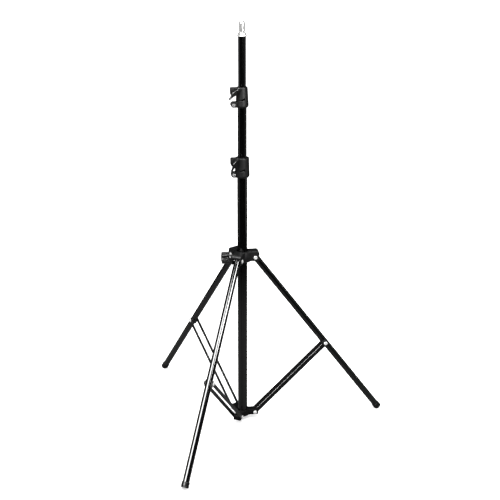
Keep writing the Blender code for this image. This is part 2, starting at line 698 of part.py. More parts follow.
def make_leg_top_plug(number, upper, pivot):
    """The knuckle about pivot P and the spigot that holds it in the leg's tube."""
    knuckle_r = LEG_R - KNUCKLE_FLAT
    seat = upper + TUBE_START - FIT
    outline = arc(upper, 0, knuckle_r, 90, 270, KNUCKLE_STEPS) + [(seat, -knuckle_r), (seat, knuckle_r)]
    body = extruded(outline, -LEG_R - OVERSHOOT, LEG_R + OVERSHOOT, "Y")
    boolean(body, rod(LEG_R, upper - LEG_R * 2, seat + OVERSHOOT, "X", sides=TUBE_SIDES), "INTERSECT")
    joined(body, rod(LEG_R - TUBE_WALL - FIT, seat - OVERSHOOT, seat + TOP_SPIGOT, "X", sides=KNOB_SIDES))
    play = PIN_FIT if number == 1 else OPEN_PIVOT_PLAY
    cut(body, rod(RIVET_R + play, -LEG_R * 2, LEG_R * 2, "Y", (upper, 0, 0), PIVOT_SIDES))
    place(f"leg_top_plug_{number}", body, "dark_moulded_plastic", pivot)


def make_leg_foot(number, lower, pivot):
    """The rubber foot on the leg's end, its sole cut level with the floor."""
    mouth = lower - FOOT_LENGTH
    floor = lower - FOOT_FLOOR
    bore_r = LEG_R + FIT
    body = turned([(0, floor), (bore_r, floor), (bore_r, mouth), (FOOT_R - FOOT_CHAMFER, mouth),
                   (FOOT_R, mouth + FOOT_CHAMFER), (FOOT_R, lower - FOOT_CHAMFER),
                   (FOOT_R - FOOT_CHAMFER, lower), (0, lower)], "X")
    down = Vector((math.cos(LEG_ANGLE), 0, -math.sin(LEG_ANGLE)))
    bm = bmesh.new()
    bm.from_mesh(body.data)
    everything = bm.verts[:] + bm.edges[:] + bm.faces[:]
    sliced = bmesh.ops.bisect_plane(bm, geom=everything, plane_co=down * (CLIP_Z - FLOOR_Z), plane_no=down,
                                    dist=WELD, clear_outer=True)
    rim = [item for item in sliced["geom_cut"] if isinstance(item, bmesh.types.BMEdge)]
    bmesh.ops.contextual_create(bm, geom=rim)
    bmesh.ops.recalc_face_normals(bm, faces=bm.faces[:])
    bm.to_mesh(body.data)
    bm.free()
    place(f"leg_foot_{number}", body, "black_rubber", pivot)


# Leg collar

def make_leg_collar(hub):
    """The three-armed collar about the column. Its station is on the axis, level with the leg pivots."""
    reach = PIVOT_R + ARM_END
    side = [(0, -ARM_DROP)]
    side += arc(reach - ARM_FOOT_ROUND, -ARM_DROP + ARM_FOOT_ROUND, ARM_FOOT_ROUND, -90, 0, SMALL_ARC_STEPS)
    side += arc(reach - ARM_TOP_ROUND, ARM_RISE - ARM_TOP_ROUND, ARM_TOP_ROUND, 0, 90)
    side += [(0, ARM_RISE)]
    roof = ARM_RISE - POCKET_ROOF
    hub_low = -ARM_DROP - HUB_PROUD
    hub_high = ARM_RISE + HUB_PROUD
    below = hub_low - OVERSHOOT
    past = reach + OVERSHOOT
    inner = reach - HOOD_WALL
    pocket = [(POCKET_START, below), (past, below), (past, HOOD_LIP), (inner, HOOD_LIP)]
    pocket += arc(inner - HOOD_ROUND, roof - HOOD_ROUND, HOOD_ROUND, 0, 90, SMALL_ARC_STEPS)
    pocket += [(POCKET_START, roof)]

    body = turned([(0, hub_low), (HUB_R - HUB_CHAMFER, hub_low), (HUB_R, hub_low + HUB_CHAMFER),
                   (HUB_R, HUB_SHOULDER), (HUB_TOP_R, hub_high), (0, hub_high)], sides=HUB_SIDES)
    for arm in range(LEG_COUNT):
        joined(body, spun_copy(extruded(side, -ARM_HALF_WIDTH, ARM_HALF_WIDTH, "Y"), arm * LEG_TURN))
    joined(body, rod(BOSS_R, -BOSS_END, -HUB_TOP_R, "X", (0, 0, -LOCK_DROP), KNOB_SIDES))
    cut(body, rod(COLLAR_BORE_R, below, hub_high + OVERSHOOT, sides=TUBE_SIDES))
    for arm in range(LEG_COUNT):
        slot = extruded(pocket, -POCKET_HALF_WIDTH, POCKET_HALF_WIDTH, "Y")
        side_past = ARM_HALF_WIDTH + OVERSHOOT
        hole = rod(RIVET_HOLE_R, -side_past, side_past, "Y", (PIVOT_R, 0, 0))
        cut(body, spun_copy(slot, arm * LEG_TURN), spun_copy(hole, arm * LEG_TURN))
    cut(body, rod(INSERT_R + FIT, -BOSS_END - OVERSHOOT, 0, "X", (0, 0, -LOCK_DROP), KNOB_SIDES))
    place("leg_collar", body, "dark_moulded_plastic", hub)

    for number in range(1, LEG_COUNT + 1):
        pin = rivet(ARM_HALF_WIDTH + FIT + RIVET_HEAD)
        pin.data.transform(Matrix.Translation((PIVOT_R, 0, 0)))
        place(f"top_rivet_{number}", spun_copy(pin, (number - 1) * LEG_TURN), "bright_nickel", hub)


def knob_outline():
    """The leg lock knob's outline: a circle with a cosine ripple that leaves six lobes."""
    points = LOCK_KNOB_LOBES * LOBE_POINTS
    outline = []
    for step in range(points):
        angle = math.tau * step / points
        ripple = LOCK_KNOB_DEPTH / 2 * (1 - math.cos(LOCK_KNOB_LOBES * (angle - LOCK_KNOB_TURN)))
        radius = LOCK_KNOB_R - ripple
        outline.append((radius * math.cos(angle), radius * math.sin(angle)))
    return outline


def make_leg_lock(hub):
    """The lock on the leg collar: insert, screw with its pad, and knob, along -X."""
    axis = station("leg_lock_axis", hub, (0, 0, -LOCK_DROP))
    hole_r = LOCK_SCREW_R + PIN_FIT
    insert = tube(INSERT_R, -BOSS_END + FIT, -INSERT_START, INSERT_R - hole_r, "X")
    place("leg_collar_insert", insert, "zinc_steel", axis)

    pad_end = COLLAR_BORE_R + LOCK_PAD
    place("leg_lock_pad", rod(LOCK_PAD_R, -pad_end, -COLLAR_BORE_R, "X"), "grey_acetal", axis)
    screw_start = pad_end + FIT
    screw_end = screw_start + LOCK_SCREW_LENGTH
    place("leg_collar_screw", rod(LOCK_SCREW_R, -screw_end, -screw_start, "X"), "zinc_steel", axis)

    low = BOSS_END + LOCK_KNOB_GAP
    high = low + LOCK_KNOB_LENGTH
    body = stacked(knob_outline(), [(-high, LOCK_KNOB_EDGE), (-high + LOCK_KNOB_CHAMFER, 1.0),
                                    (-low - LOCK_KNOB_CHAMFER, 1.0), (-low, LOCK_KNOB_EDGE)], "X")
    cut(body, rod(hole_r, -screw_end - FIT, -low + OVERSHOOT, "X"))
    place("leg_collar_knob", body, "dark_moulded_plastic", axis)


def build():
    """Makes every piece on its station."""
    clear_scene()
    column = station("column", None)
    make_base_tube(column)
    make_base_end_plug(column)
    make_bottom_bracket(column)
    make_bracket_screw(column)

    base_end = station("base_tube_end", column, (0, 0, BASE_TUBE_TOP))
    make_lock_collar("lower", BASE_TUBE_R, MIDDLE_TUBE_R, LOWER_WALL, LOWER_TOP_WALL, LOWER_TOP_CHAMFER,
                     LOWER_EAR_STANDOFF, LOWER_WING_ANGLE, base_end)

    middle_end = station("middle_tube_end", base_end, (0, 0, MIDDLE_RISE))
    make_section_tube("middle_tube", MIDDLE_TUBE_R, MIDDLE_TUBE_LENGTH, middle_end)
    make_piston("middle_piston", "middle_seal_ring", MIDDLE_TUBE_R, BASE_TUBE_R - TUBE_WALL,
                MIDDLE_TUBE_LENGTH, middle_end)
    make_lock_collar("upper", MIDDLE_TUBE_R, TOP_TUBE_R, UPPER_WALL, UPPER_TOP_WALL, UPPER_TOP_CHAMFER,
                     UPPER_EAR_STANDOFF, UPPER_WING_ANGLE, middle_end)

    top_end = station("top_tube_end", middle_end, (0, 0, TOP_RISE))
    make_section_tube("top_tube", TOP_TUBE_R, TOP_TUBE_LENGTH, top_end)
    make_piston("top_piston", "top_seal_ring", TOP_TUBE_R, MIDDLE_TUBE_R - TUBE_WALL, TOP_TUBE_LENGTH, top_end)
    make_stud(top_end)

    quarter = math.pi / 2
    for number in range(1, LEG_COUNT + 1):
        plane = station(f"leg_plane_{number}", column, turn=(number - 1) * LEG_TURN)
        pivot_b = station(f"pivot_b_{number}", plane, (PIVOT_R, 0, STRUT_PIVOT_Z), tilt=STRUT_ANGLE - quarter)
        make_struts(number, pivot_b)
        pivot_q = station(f"pivot_q_{number}", pivot_b, (STRUT_REACH, 0, 0),
                          tilt=math.pi - LEG_ANGLE - STRUT_ANGLE)
        make_leg(number, pivot_q)
        if number == 1:
            pivot_p = station("pivot_p_1", pivot_q, (-CLIP_REACH, 0, 0), tilt=LEG_ANGLE - quarter)
            hub = station("leg_collar_hub", pivot_p, (-PIVOT_R, 0, 0))
            make_leg_collar(hub)
            make_leg_lock(hub)
    bpy.context.view_layer.update()


build()
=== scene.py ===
"""The air-cushioned light stand as the photograph shows it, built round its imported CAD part.

Sizes are in millimetres in the CAD part's frame: +Z runs up the column and leg 1 lies along +X.
A surface is worked out as whole arrays on the station of its CAD piece, and becomes metres when it is placed.
The last number of each both, either and less is the fillet of that edge, and so is each corner's last number.
"""

import itertools
import math

import bpy
import numpy as np
from mathutils import Matrix, Vector


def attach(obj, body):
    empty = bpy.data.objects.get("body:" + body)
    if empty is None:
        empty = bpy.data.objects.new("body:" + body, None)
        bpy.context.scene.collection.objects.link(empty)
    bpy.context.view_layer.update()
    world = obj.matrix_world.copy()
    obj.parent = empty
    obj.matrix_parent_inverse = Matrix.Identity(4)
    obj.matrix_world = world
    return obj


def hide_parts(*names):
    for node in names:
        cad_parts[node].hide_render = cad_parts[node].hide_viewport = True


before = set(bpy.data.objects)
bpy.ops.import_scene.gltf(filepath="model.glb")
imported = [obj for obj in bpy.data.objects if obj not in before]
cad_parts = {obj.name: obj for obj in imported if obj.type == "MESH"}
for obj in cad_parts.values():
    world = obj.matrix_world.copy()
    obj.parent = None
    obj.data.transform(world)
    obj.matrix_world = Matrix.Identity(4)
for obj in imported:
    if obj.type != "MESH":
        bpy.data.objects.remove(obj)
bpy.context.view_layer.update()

MM = 0.001

# Sizes of the pieces, which follow the CAD part

# Column
FIT = 0.3                    # between a piece and its seat
PIN_FIT = 0.3                # round a pin or a screw
BASE_TUBE_R = 14.0
MIDDLE_TUBE_R = 12.25
TOP_TUBE_R = 10.65
TUBE_WALL = 1.2
BASE_TUBE_LENGTH = 773.1
MIDDLE_TUBE_LENGTH = 740.0
TOP_TUBE_LENGTH = 700.0
MIDDLE_RISE = 197.7          # middle tube's top above the base tube's top, as the stand is set
TOP_RISE = 164.2             # top tube's top above the middle tube's top, as the stand is set
PLUG_FLANGE = 3.0
PLUG_CHAMFER = 1.0
PLUG_INSET = 0.4             # flange inside the tube's outline
PLUG_SPIGOT = 19.0
PISTON_HEAD = 18.0
PISTON_GAP = 0.5
PISTON_SPIGOT = 20.0
PISTON_BLEED_R = 1.0
SEAL_HEIGHT = 3.4
SEAL_GROOVE_FLOOR = 1.8      # groove's floor inside the piston's outline
SEAL_MIDDLE = 9.0            # ring's middle below the tube's end

# Lighting stud
STUD_SPIGOT = 25.0
STUD_FLANGE_R = 12.8
STUD_FLANGE = 2.5
STUD_HEX_FLATS = 20.4
STUD_HEX_TOP_FLATS = 17.6
STUD_HEX = 7.0
STUD_HEX_CORNER = 0.56       # hexagon's corners from its axis, over its flats
STUD_NECK_R = 6.5
STUD_NECK = 2.9
STUD_PIN_R = 8.0
STUD_PIN = 21.3
STUD_NOSE = 8.1
STUD_NOSE_R = 4.5

# Legs and struts
PIVOT_R = 36.0
STRUT_PIVOT_Z = 10.4
LEG_ANGLE = math.radians(36.5)
LEG_REACH = 643.0            # top pivot to the leg's lower end
CLIP_REACH = 355.0           # top pivot to the clip's pivot
STRUT_REACH = 301.0          # bracket's pivot to the clip's pivot
LEG_R = 9.5
LEGS = range(3)
STRUT_WIDTH = 11.5
STRUT_THICKNESS = 2.0
CLIP_WIDTH = 22.0
CLIP_LENGTH = 20.0
CLIP_CORNER = 7.0
CLIP_RIM = 5.0               # open edges of the clip beyond the leg's axis, on the leg's outer side
FOOT_R = 10.95               # a little inside the CAD foot's
FOOT_LENGTH = 16.0
FOOT_FLOOR = 6.0
FOOT_GROOVE_R = 1.0
FOOT_GROOVE_RISE = 4.2       # groove's middle above the leg's lower end
FOOT_GROOVE_PROUD = 0.5      # groove's middle outside the foot's outline
SOLE_DEPTH = 3.4             # sole below the middle of the leg's lower end
TUBE_START = 11.0            # top pivot to the leg tube's upper end
KNUCKLE_FLAT = 0.3           # flats on the knuckle inside the tube's outline
TOP_SPIGOT = 28.0
COLLAR_PLAY = 2.6            # leg collar's bore round the base tube
OPEN_PIVOT_PLAY = 3.8        # round the top pivots of legs 2 and 3
RIVET_R = 2.5
RIVET_HEAD_R = 5.5
RIVET_HEAD = 1.8
# The head's line from its dimple outwards: radius, depth below its top and fillet
RIVET_CROWN = [(0, 0.8, 0), (1.2, 0.7, 0.3), (1.9, 0.15, 0.25), (4.2, 0.25, 1.2), (RIVET_HEAD_R, 1.1, 0.5)]

# Strut bracket
BRACKET_RING_WALL = 5.2
BRACKET_RING_PROUD = 0.6     # ring above and below the arms
BRACKET_LOW = 1.9
BRACKET_HIGH = 18.7
BRACKET_END = 10.5           # arm beyond the strut pivot
BRACKET_TOP_ROUND = 5.0
BRACKET_FOOT_ROUND = 2.5
BRACKET_SCREW_R = 1.8
BRACKET_SCREW_HEAD_R = 4.0
BRACKET_SCREW_HEAD = 2.5
BRACKET_SCREW_RIM = 1.25     # straight part of the head
BRACKET_SCREW_CROWN_R = 2.4
BRACKET_SCREW_DEPTH = 10.5

# Leg collar
ARM_HALF_WIDTH = 14.2
ARM_END = 11.6               # arm beyond the leg pivot
ARM_DROP = 10.6              # arm's underside below the pivot
ARM_RISE = 19.0              # arm's top above the pivot
ARM_TOP_ROUND = 8.0
ARM_FOOT_ROUND = 2.0
POCKET_HALF_WIDTH = 11.8
POCKET_START = 22.6
POCKET_ROOF = 4.0            # wall above the knuckle's pocket
HOOD_WALL = 2.2              # wall of the arm's rounded nose over the pocket
HOOD_LIP = 8.0               # nose's lower edge above the pivot
HOOD_ROUND = 3.6
HUB_R = 24.0
HUB_TOP_R = 19.5
HUB_SHOULDER = 7.0           # where the hub's cone starts, above the pivot
HUB_PROUD = 0.6              # hub above and below the arms

# Leg lock
LOCK_DROP = 0.7              # its axis below the pivot
BOSS_R = 7.5
BOSS_END = 35.2
INSERT_R = 5.7
INSERT_START = 20.5
LOCK_SCREW_R = 3.9
LOCK_SCREW_LENGTH = 32.7
LOCK_PAD_R = 5.0
LOCK_PAD = 2.4
LOCK_KNOB_R = 17.0
LOCK_KNOB_LOBES = 6
LOCK_KNOB_DEPTH = 3.2
LOCK_KNOB_LENGTH = 22.3
LOCK_KNOB_GAP = 2.8          # knob off its boss while the lock is open
LOCK_KNOB_TURN = math.radians(9.0)
LOCK_RIM_STRETCH = 1.08      # evens out the slope of the rippled rim's field
LOCK_DISH_R = 7.0            # inner radius of the ring dished into the knob's end
LOCK_DISH_DEPTH = 1.2
LOCK_DISH_OUT = 0.3          # dish's middle outside the knob's end

# Tube clamps
LOWER_CLAMP = {"tube": BASE_TUBE_R, "sliding": MIDDLE_TUBE_R, "wall": 6.6, "top_wall": 5.2,
               "top_chamfer": 0.6, "standoff": 3.7, "angle": math.radians(64.0)}
UPPER_CLAMP = {"tube": MIDDLE_TUBE_R, "sliding": TOP_TUBE_R, "wall": 5.75, "top_wall": 2.95,
               "top_chamfer": 1.6, "standoff": 6.3, "angle": math.radians(49.0)}
COLLAR_HEIGHT = 56.0
COLLAR_GRIP = 28.0           # collar below the end of the tube that it sits on
COLLAR_FOOT_CHAMFER = 3.2
COLLAR_FOOT_RISE = 4.0
COLLAR_LIP = 1.5
LIP_GAP = 0.5
BUSH_END = 1.8               # bush's top below the collar's top
SLIT = 2.4
EAR_HALF_WIDTH = 9.0
FOOT_EAR_Z = 8.2
FOOT_EAR_R = 7.4
WING_EAR_Z = 43.0
WING_EAR_R = 8.2
WING_EAR_ROUND = 3.0
WING_EAR_HEEL = 5.0          # round at the ear block's lower outer edge
NOTCH_X = 5.0
NOTCH_TOP_Z = 34.7
NOTCH_MOUTH = 1.2
NOTCH_SLOPE = [(-7.0, 23.5), (-20.0, 20.0)]
BOLT_R = 2.5
BOLT_HEAD_R = 4.6
BOLT_HEAD = 3.5
BOLT_RECESS_R = 2.0
BOLT_RECESS = 1.5
NUT_FLATS = 8.0
NUT_HEIGHT = 4.0
NUT_CONE = 0.45              # slope of the cones that take a nut's corners off
NUT_CORNER = 0.58            # a nut's corners from its axis, over its flats
WING_SCREW_R = 3.0
WING_NUT_FLATS = 10.0
WING_NUT_HEIGHT = 5.0
THREAD_END = 1.2             # screw beyond its nut
WING_REACH = 22.0
WING_DEPTH = 9.5
WING_CLEAR = 0.6             # wings outside the collar's foot
WING_TIP_R = 1.9
WING_ROOT_R = 5.4
WING_BELL = 9.0              # how far the wing's root flares
WING_HUB_R = 6.6
WING_HUB_INSET = 1.5         # hub's end inside the wings' end
WING_HOLE_FLOOR = 3.0

# How finely the surfaces are divided, and where their fields reach past the piece
LATHE_SIDES = 96
TUBE_SIDES = 128
ROD_SIDES = 64
SCREW_SIDES = 48
SMALL_SCREW_SIDES = 40
NUT_PITCH = 0.25
SMALL_PITCH = 0.4
PITCH = 0.5
COLLAR_PITCH = 0.55
STRUT_PITCH = 0.6
SLOPE_STEP = 0.02            # over which a field's slope is measured
SLOPE_ROUNDS = 3             # how often a point moves down the field's slope
LEAST_SLOPE = 0.05           # squared slope under which a point moves less
SMALLEST = 1e-9              # keeps a length that is divided by from being zero
PAST_AXIS = -50.0            # an outline's inner side, beyond the axis
SUNK = 1.0                   # a solid inside the one that it joins
OUTSIDE = 1.0                # a grid's edge beyond the piece

# Photo camera, fitted to the photograph's lines, and its picture
CAMERA_HEADING = math.radians(82.026)
CAMERA_PITCH = math.radians(-21.0468)
CAMERA_ROLL = math.radians(-0.099)
CAMERA_PLACE = Vector((-406.2, -2911.5, 1661.8)) * MM
PICTURE_WIDTH = 500          # pixels
FOCAL_LENGTH = 1105.34       # pixels
PICTURE_SHIFT = 7.06         # pixels
SENSOR_WIDTH = 36.0
FAR_END = 60.0               # metres

# Worked out from them
BASE_TUBE_FOOT = PLUG_FLANGE + FIT
BASE_TUBE_TOP = BASE_TUBE_FOOT + BASE_TUBE_LENGTH
STRUT_ANGLE = math.asin(CLIP_REACH * math.sin(LEG_ANGLE) / STRUT_REACH)
CLIP_Z = STRUT_PIVOT_Z + STRUT_REACH * math.cos(STRUT_ANGLE)
LEG_PIVOT_Z = CLIP_Z + CLIP_REACH * math.cos(LEG_ANGLE)
FLOOR_Z = LEG_PIVOT_Z - LEG_REACH * math.cos(LEG_ANGLE) - SOLE_DEPTH
RIVET_HOLE_R = RIVET_R + PIN_FIT
STRUT_INNER = CLIP_WIDTH / 2 + FIT
STRUT_OUTER = STRUT_INNER + STRUT_THICKNESS
COLLAR_BORE_R = BASE_TUBE_R + COLLAR_PLAY
COLLAR_FOOT = -COLLAR_GRIP
COLLAR_TOP = COLLAR_HEIGHT - COLLAR_GRIP
EAR_SEAT = EAR_HALF_WIDTH + FIT


def shift(x, y, z):
    """A move, as a 4 by 4 array."""
    made = np.eye(4)
    made[:3, 3] = (x, y, z)
    return made


def turn_y(angle):
    """A turn about Y, as a 4 by 4 array."""
    c, s = math.cos(angle), math.sin(angle)
    return np.array([[c, 0, s, 0], [0, 1, 0, 0], [-s, 0, c, 0], [0, 0, 0, 1.0]])


def turn_z(angle):
    """A turn about Z, as a 4 by 4 array."""
    c, s = math.cos(angle), math.sin(angle)
    return np.array([[c, -s, 0, 0], [s, c, 0, 0], [0, 0, 1, 0], [0, 0, 0, 1.0]])


# Stations of the CAD pieces, and the turns that lay a Z axis along X or Y
ALONG_X = np.array([[0, 0, 1, 0], [1, 0, 0, 0], [0, 1, 0, 0], [0, 0, 0, 1.0]])
ALONG_Y = np.array([[0, 1, 0, 0], [0, 0, 1, 0], [1, 0, 0, 0], [0, 0, 0, 1.0]])
COLUMN = np.eye(4)
BASE_END = shift(0, 0, BASE_TUBE_TOP)
MIDDLE_END = BASE_END @ shift(0, 0, MIDDLE_RISE)
TOP_END = MIDDLE_END @ shift(0, 0, TOP_RISE)
PLANE = [turn_z(math.tau * leg / len(LEGS)) for leg in LEGS]
STRUT_PIVOT = [plane @ shift(PIVOT_R, 0, STRUT_PIVOT_Z) @ turn_y(STRUT_ANGLE - math.pi / 2)
               for plane in PLANE]
CLIP_PIVOT = [foot @ shift(STRUT_REACH, 0, 0) @ turn_y(math.pi - LEG_ANGLE - STRUT_ANGLE)
              for foot in STRUT_PIVOT]
HUB = shift(0, 0, LEG_PIVOT_Z)
LOCK = HUB @ shift(0, 0, -LOCK_DROP)


# Surfaces

def rounded(corners, steps=5):
    """A (radius, height) line with each corner turned into an arc, and the line's normal at each point.

    Each corner is (radius, height, fillet). The arc's centre lies on the corner's bisector, at the fillet
    over the sine of half the corner's angle. Its points turn evenly from one side's normal to the other's.
    The line runs so that the piece is on its left, looking along it with the axis on the left hand.
    """
    points, normals = [], []
    places = [np.array(corner[:2], float) for corner in corners]
    for at, (here, corner) in enumerate(zip(places, corners)):
        into = out = None
        if at > 0:
            into = (here - places[at - 1]) / np.linalg.norm(here - places[at - 1])
        if at < len(places) - 1:
            out = (places[at + 1] - here) / np.linalg.norm(places[at + 1] - here)
        if into is None or out is None:
            along = out if into is None else into
            points.append(here)
            normals.append((along[1], -along[0]))
            continue
        fillet = corner[2]
        first = np.array((into[1], -into[0]))
        swing = math.atan2(into[0] * out[1] - into[1] * out[0], into @ out)
        reach = fillet * abs(math.tan(swing / 2))
        centre = here - into * reach - first * math.copysign(fillet, swing)
        for step in range(steps + 1):
            c, s = math.cos(swing * step / steps), math.sin(swing * step / steps)
            normal = np.array((first[0] * c - first[1] * s, first[0] * s + first[1] * c))
            points.append(centre + normal * math.copysign(fillet, swing))
            normals.append(tuple(normal))
    return np.array(points), np.array(normals)


def lathe(corners, sides=LATHE_SIDES, closed=False, steps=5):
    """A line turned about Z: at angle t a point is (radius cos t, radius sin t, height).

    A closed line makes a ring. An open one starts and ends on the axis, where a fan of triangles closes it.
    """
    if closed:
        middle = tuple((np.array(corners[0][:2]) + np.array(corners[-1][:2])) / 2) + (0,)
        corners = [middle, *corners, middle]
    line, slope = rounded(corners, steps)
    if closed:
        line, slope = line[:-1], slope[:-1]
    angle = np.arange(sides) * math.tau / sides
    c, s = np.cos(angle)[None, :], np.sin(angle)[None, :]

    def turned(rows):
        radius, height = rows[:, :1], np.repeat(rows[:, 1:], sides, 1)
        return np.stack([radius * c, radius * s, height], -1).reshape(-1, 3)

    inner = slice(None) if closed else slice(1, len(line) - 1)
    points, normals = turned(line[inner]), turned(slope[inner])
    count = len(line[inner])
    row = np.arange(count if closed else count - 1)[:, None]
    near = np.arange(sides)[None, :]
    far = (near + 1) % sides
    above = (row + 1) % count
    quads = np.stack([row * sides + near, row * sides + far, above * sides + far, above * sides + near], -1)
    faces = quads.reshape(-1, 4).tolist()
    if not closed:
        foot, head = len(points), len(points) + 1
        points = np.vstack([points, (0, 0, line[0][1]), (0, 0, line[-1][1])])
        normals = np.vstack([normals, (0, 0, slope[0][1]), (0, 0, slope[-1][1])])
        near, far = near[0], far[0]
        top = (count - 1) * sides
        faces += np.stack([np.full(sides, foot), far, near], -1).tolist()
        faces += np.stack([np.full(sides, head), top + near, top + far], -1).tolist()
    return points, normals, faces


def tube(radius, low, high, wall=TUBE_WALL, edge=0.3):
    """A round tube: its wall's closed outline turned about the axis."""
    inner = radius - wall
    wall_line = [(inner, low, edge), (radius, low, edge), (radius, high, edge), (inner, high, edge)]
    return lathe(wall_line, TUBE_SIDES, closed=True)


def rod(radius, low, high, edge=0.4):
    """A round bar with rounded ends, turned about the axis."""
    return lathe([(0, low, 0), (radius, low, edge), (radius, high, edge), (0, high, 0)], ROD_SIDES)


def both(a, b, fillet):
    """The overlap of two fields, its outer edge rounded to the fillet.

    Near the edge it is the hypotenuse of how far a point is past each field's fillet line, less the fillet.
    """
    corner = np.hypot(np.maximum(a + fillet, 0), np.maximum(b + fillet, 0))
    return np.minimum(np.maximum(a, b), -fillet) + corner


def either(a, b, fillet):
    """Two fields joined, the inner corner between them filled to the fillet."""
    corner = np.hypot(np.maximum(fillet - a, 0), np.maximum(fillet - b, 0))
    return np.maximum(np.minimum(a, b), fillet) - corner


def less(a, b, fillet):
    """The first field without the second, the edge of the cut rounded to the fillet."""
    return both(a, -b, fillet)


def past(u, v, first, second):
    """How far a point is to the right of the line from the first point to the second."""
    run = (second[0] - first[0], second[1] - first[1])
    length = math.hypot(*run)
    return ((u - first[0]) * run[1] - (v - first[1]) * run[0]) / length


def outline(u, v, corners):
    """The overlap of an outline's sides, taken anticlockwise. Each corner is (u, v, fillet)."""
    field = None
    for at, (one, two) in enumerate(zip(corners, corners[1:] + corners[:1])):
        side = past(u, v, one, two)
        field = side if field is None else both(field, side, one[2])
    return field


def hexagon(u, v, half, fillet, first=0.0):
    """The overlap of three slabs of that half width, the first one's normal turned by first from u to v."""
    turns = (first, first + math.pi / 3, first - math.pi / 3)
    sides = [np.abs(u * math.cos(turn) + v * math.sin(turn)) - half for turn in turns]
    return both(both(sides[0], sides[1], fillet), sides[2], fillet)


def sloped(field, points):
    """The field at each point, and its slope from the difference over a short step each way."""
    slope = [field(*(points + d).T) - field(*(points - d).T) for d in np.eye(3) * SLOPE_STEP]
    return field(*points.T), np.stack(slope, -1) / (2 * SLOPE_STEP)


def net(field, low, high, pitch):
    """The skin of a solid whose field is negative inside it, on a grid of that pitch.

    Each cell that the field changes sign in gets one point, at the mean of the sign changes on its edges.
    The point then moves down the field's slope by the field over the slope, until the field there is nothing.
    Each grid edge that the field changes sign on gets the face that joins the points of its four cells.
    """
    axes = [np.arange(a - pitch, b + 2 * pitch, pitch) for a, b in zip(low, high)]
    grid = np.meshgrid(*axes, indexing="ij", sparse=True)
    values = np.broadcast_to(field(*grid), [len(axis) for axis in axes])
    inside = values < 0
    cells = [n - 1 for n in inside.shape]
    offsets = list(itertools.product((0, 1), repeat=3))
    window = [tuple(slice(o, o + n) for o, n in zip(offset, cells)) for offset in offsets]
    filled = sum(inside[w].astype(np.int8) for w in window)
    crossed = (filled > 0) & (filled < len(offsets))
    number = np.full(cells, -1)
    number[crossed] = np.arange(np.count_nonzero(crossed))
    at = np.argwhere(crossed)
    total, hits = np.zeros(at.shape), np.zeros((len(at), 1))
    for axis, step in enumerate(np.eye(3, dtype=int)):
        for offset in offsets:
            if offset[axis]:
                continue
            start = at + offset
            a, b = values[tuple(start.T)], values[tuple((start + step).T)]
            cut = (a < 0) != (b < 0)
            share = np.where(cut, a / np.where(cut, a - b, 1), 0)
            total += (start + share[:, None] * step) * cut[:, None]
            hits += cut[:, None]
    points = total / hits * pitch + [axis[0] for axis in axes]
    for _ in range(SLOPE_ROUNDS):
        value, slope = sloped(field, points)
        move = value[:, None] * slope / np.maximum((slope ** 2).sum(1, keepdims=True), LEAST_SLOPE)
        far = np.linalg.norm(move, axis=1, keepdims=True)
        points -= move * np.minimum(1, pitch / np.maximum(far, SMALLEST))
    slope = sloped(field, points)[1]
    normals = slope / np.linalg.norm(slope, axis=1, keepdims=True)

    faces = []
    for step in np.eye(3, dtype=int):
        u, v = np.roll(step, 1), np.roll(step, 2)
        lower = tuple(slice(None, -1) if s else slice(None) for s in step)
        upper = tuple(slice(1, None) if s else slice(None) for s in step)
        edge = np.argwhere(inside[lower] != inside[upper])
        out = inside[lower][tuple(edge.T)]
        ring = np.stack([number[tuple((edge - back).T)] for back in (u + v, v, 0, u)], -1)
        faces += np.where(out[:, None], ring, ring[:, ::-1]).tolist()
    return points, normals, faces


def set_piece(name, surface, station, body, slot, *nodes, look=None):
    """Places a surface on its station, in metres, as the piece that stands for those CAD nodes.

    Its material is the slot's own, or another look for the same slot.
    """
    points, normals, faces = surface
    points = (points @ station[:3, :3].T + station[:3, 3]) * MM
    normals = normals @ station[:3, :3].T
    mesh = bpy.data.meshes.new(name)
    mesh.from_pydata(points.tolist(), [], faces)
    mesh.polygons.foreach_set("use_smooth", np.ones(len(mesh.polygons), bool))
    mesh.update()
    mesh.normals_split_custom_set_from_vertices(normals.tolist())
    mesh.materials.append(MATERIALS[look or slot])
    made = bpy.data.objects.new(name, mesh)
    bpy.context.scene.collection.objects.link(made)
    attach(made, body)
    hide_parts(*nodes)


# Materials

def new_material(name):
    """A material with its node tree and its Principled shader."""
    material = bpy.data.materials.new(name)
    material.use_nodes = True
    return material, material.node_tree, material.node_tree.nodes["Principled BSDF"]


def noise(tree, coords, scale, detail, stretch=(1, 1, 1)):
    """Noise over the piece's own coordinates, stretched along an axis where it was drawn or brushed."""
    mapping = tree.nodes.new("ShaderNodeMapping")
    mapping.inputs["Scale"].default_value = stretch
    tree.links.new(coords, mapping.inputs["Vector"])
    node = tree.nodes.new("ShaderNodeTexNoise")
    node.inputs["Scale"].default_value = scale
    node.inputs["Detail"].default_value = detail
    tree.links.new(mapping.outputs["Vector"], node.inputs["Vector"])
    return node.outputs["Fac"]


def ranged(tree, value, low, high, from_low=0.3, from_high=0.7):
    """A value spread from one range to another, whose ends are numbers or other nodes' values."""
    node = tree.nodes.new("ShaderNodeMapRange")
    node.inputs["From Min"].default_value = from_low
    node.inputs["From Max"].default_value = from_high
    for end, bound in (("To Min", low), ("To Max", high)):
        if isinstance(bound, float):
            node.inputs[end].default_value = bound
        else:
            tree.links.new(bound, node.inputs[end])
    tree.links.new(value, node.inputs["Value"])
    return node.outputs["Result"]


def mixed(tree, factor, first, second):
    """A colour between two."""
    node = tree.nodes.new("ShaderNodeMix")
    node.data_type = "RGBA"
    node.inputs[6].default_value = (*first, 1)
    node.inputs[7].default_value = (*second, 1)
    tree.links.new(factor, node.inputs[0])
    return node.outputs[2]


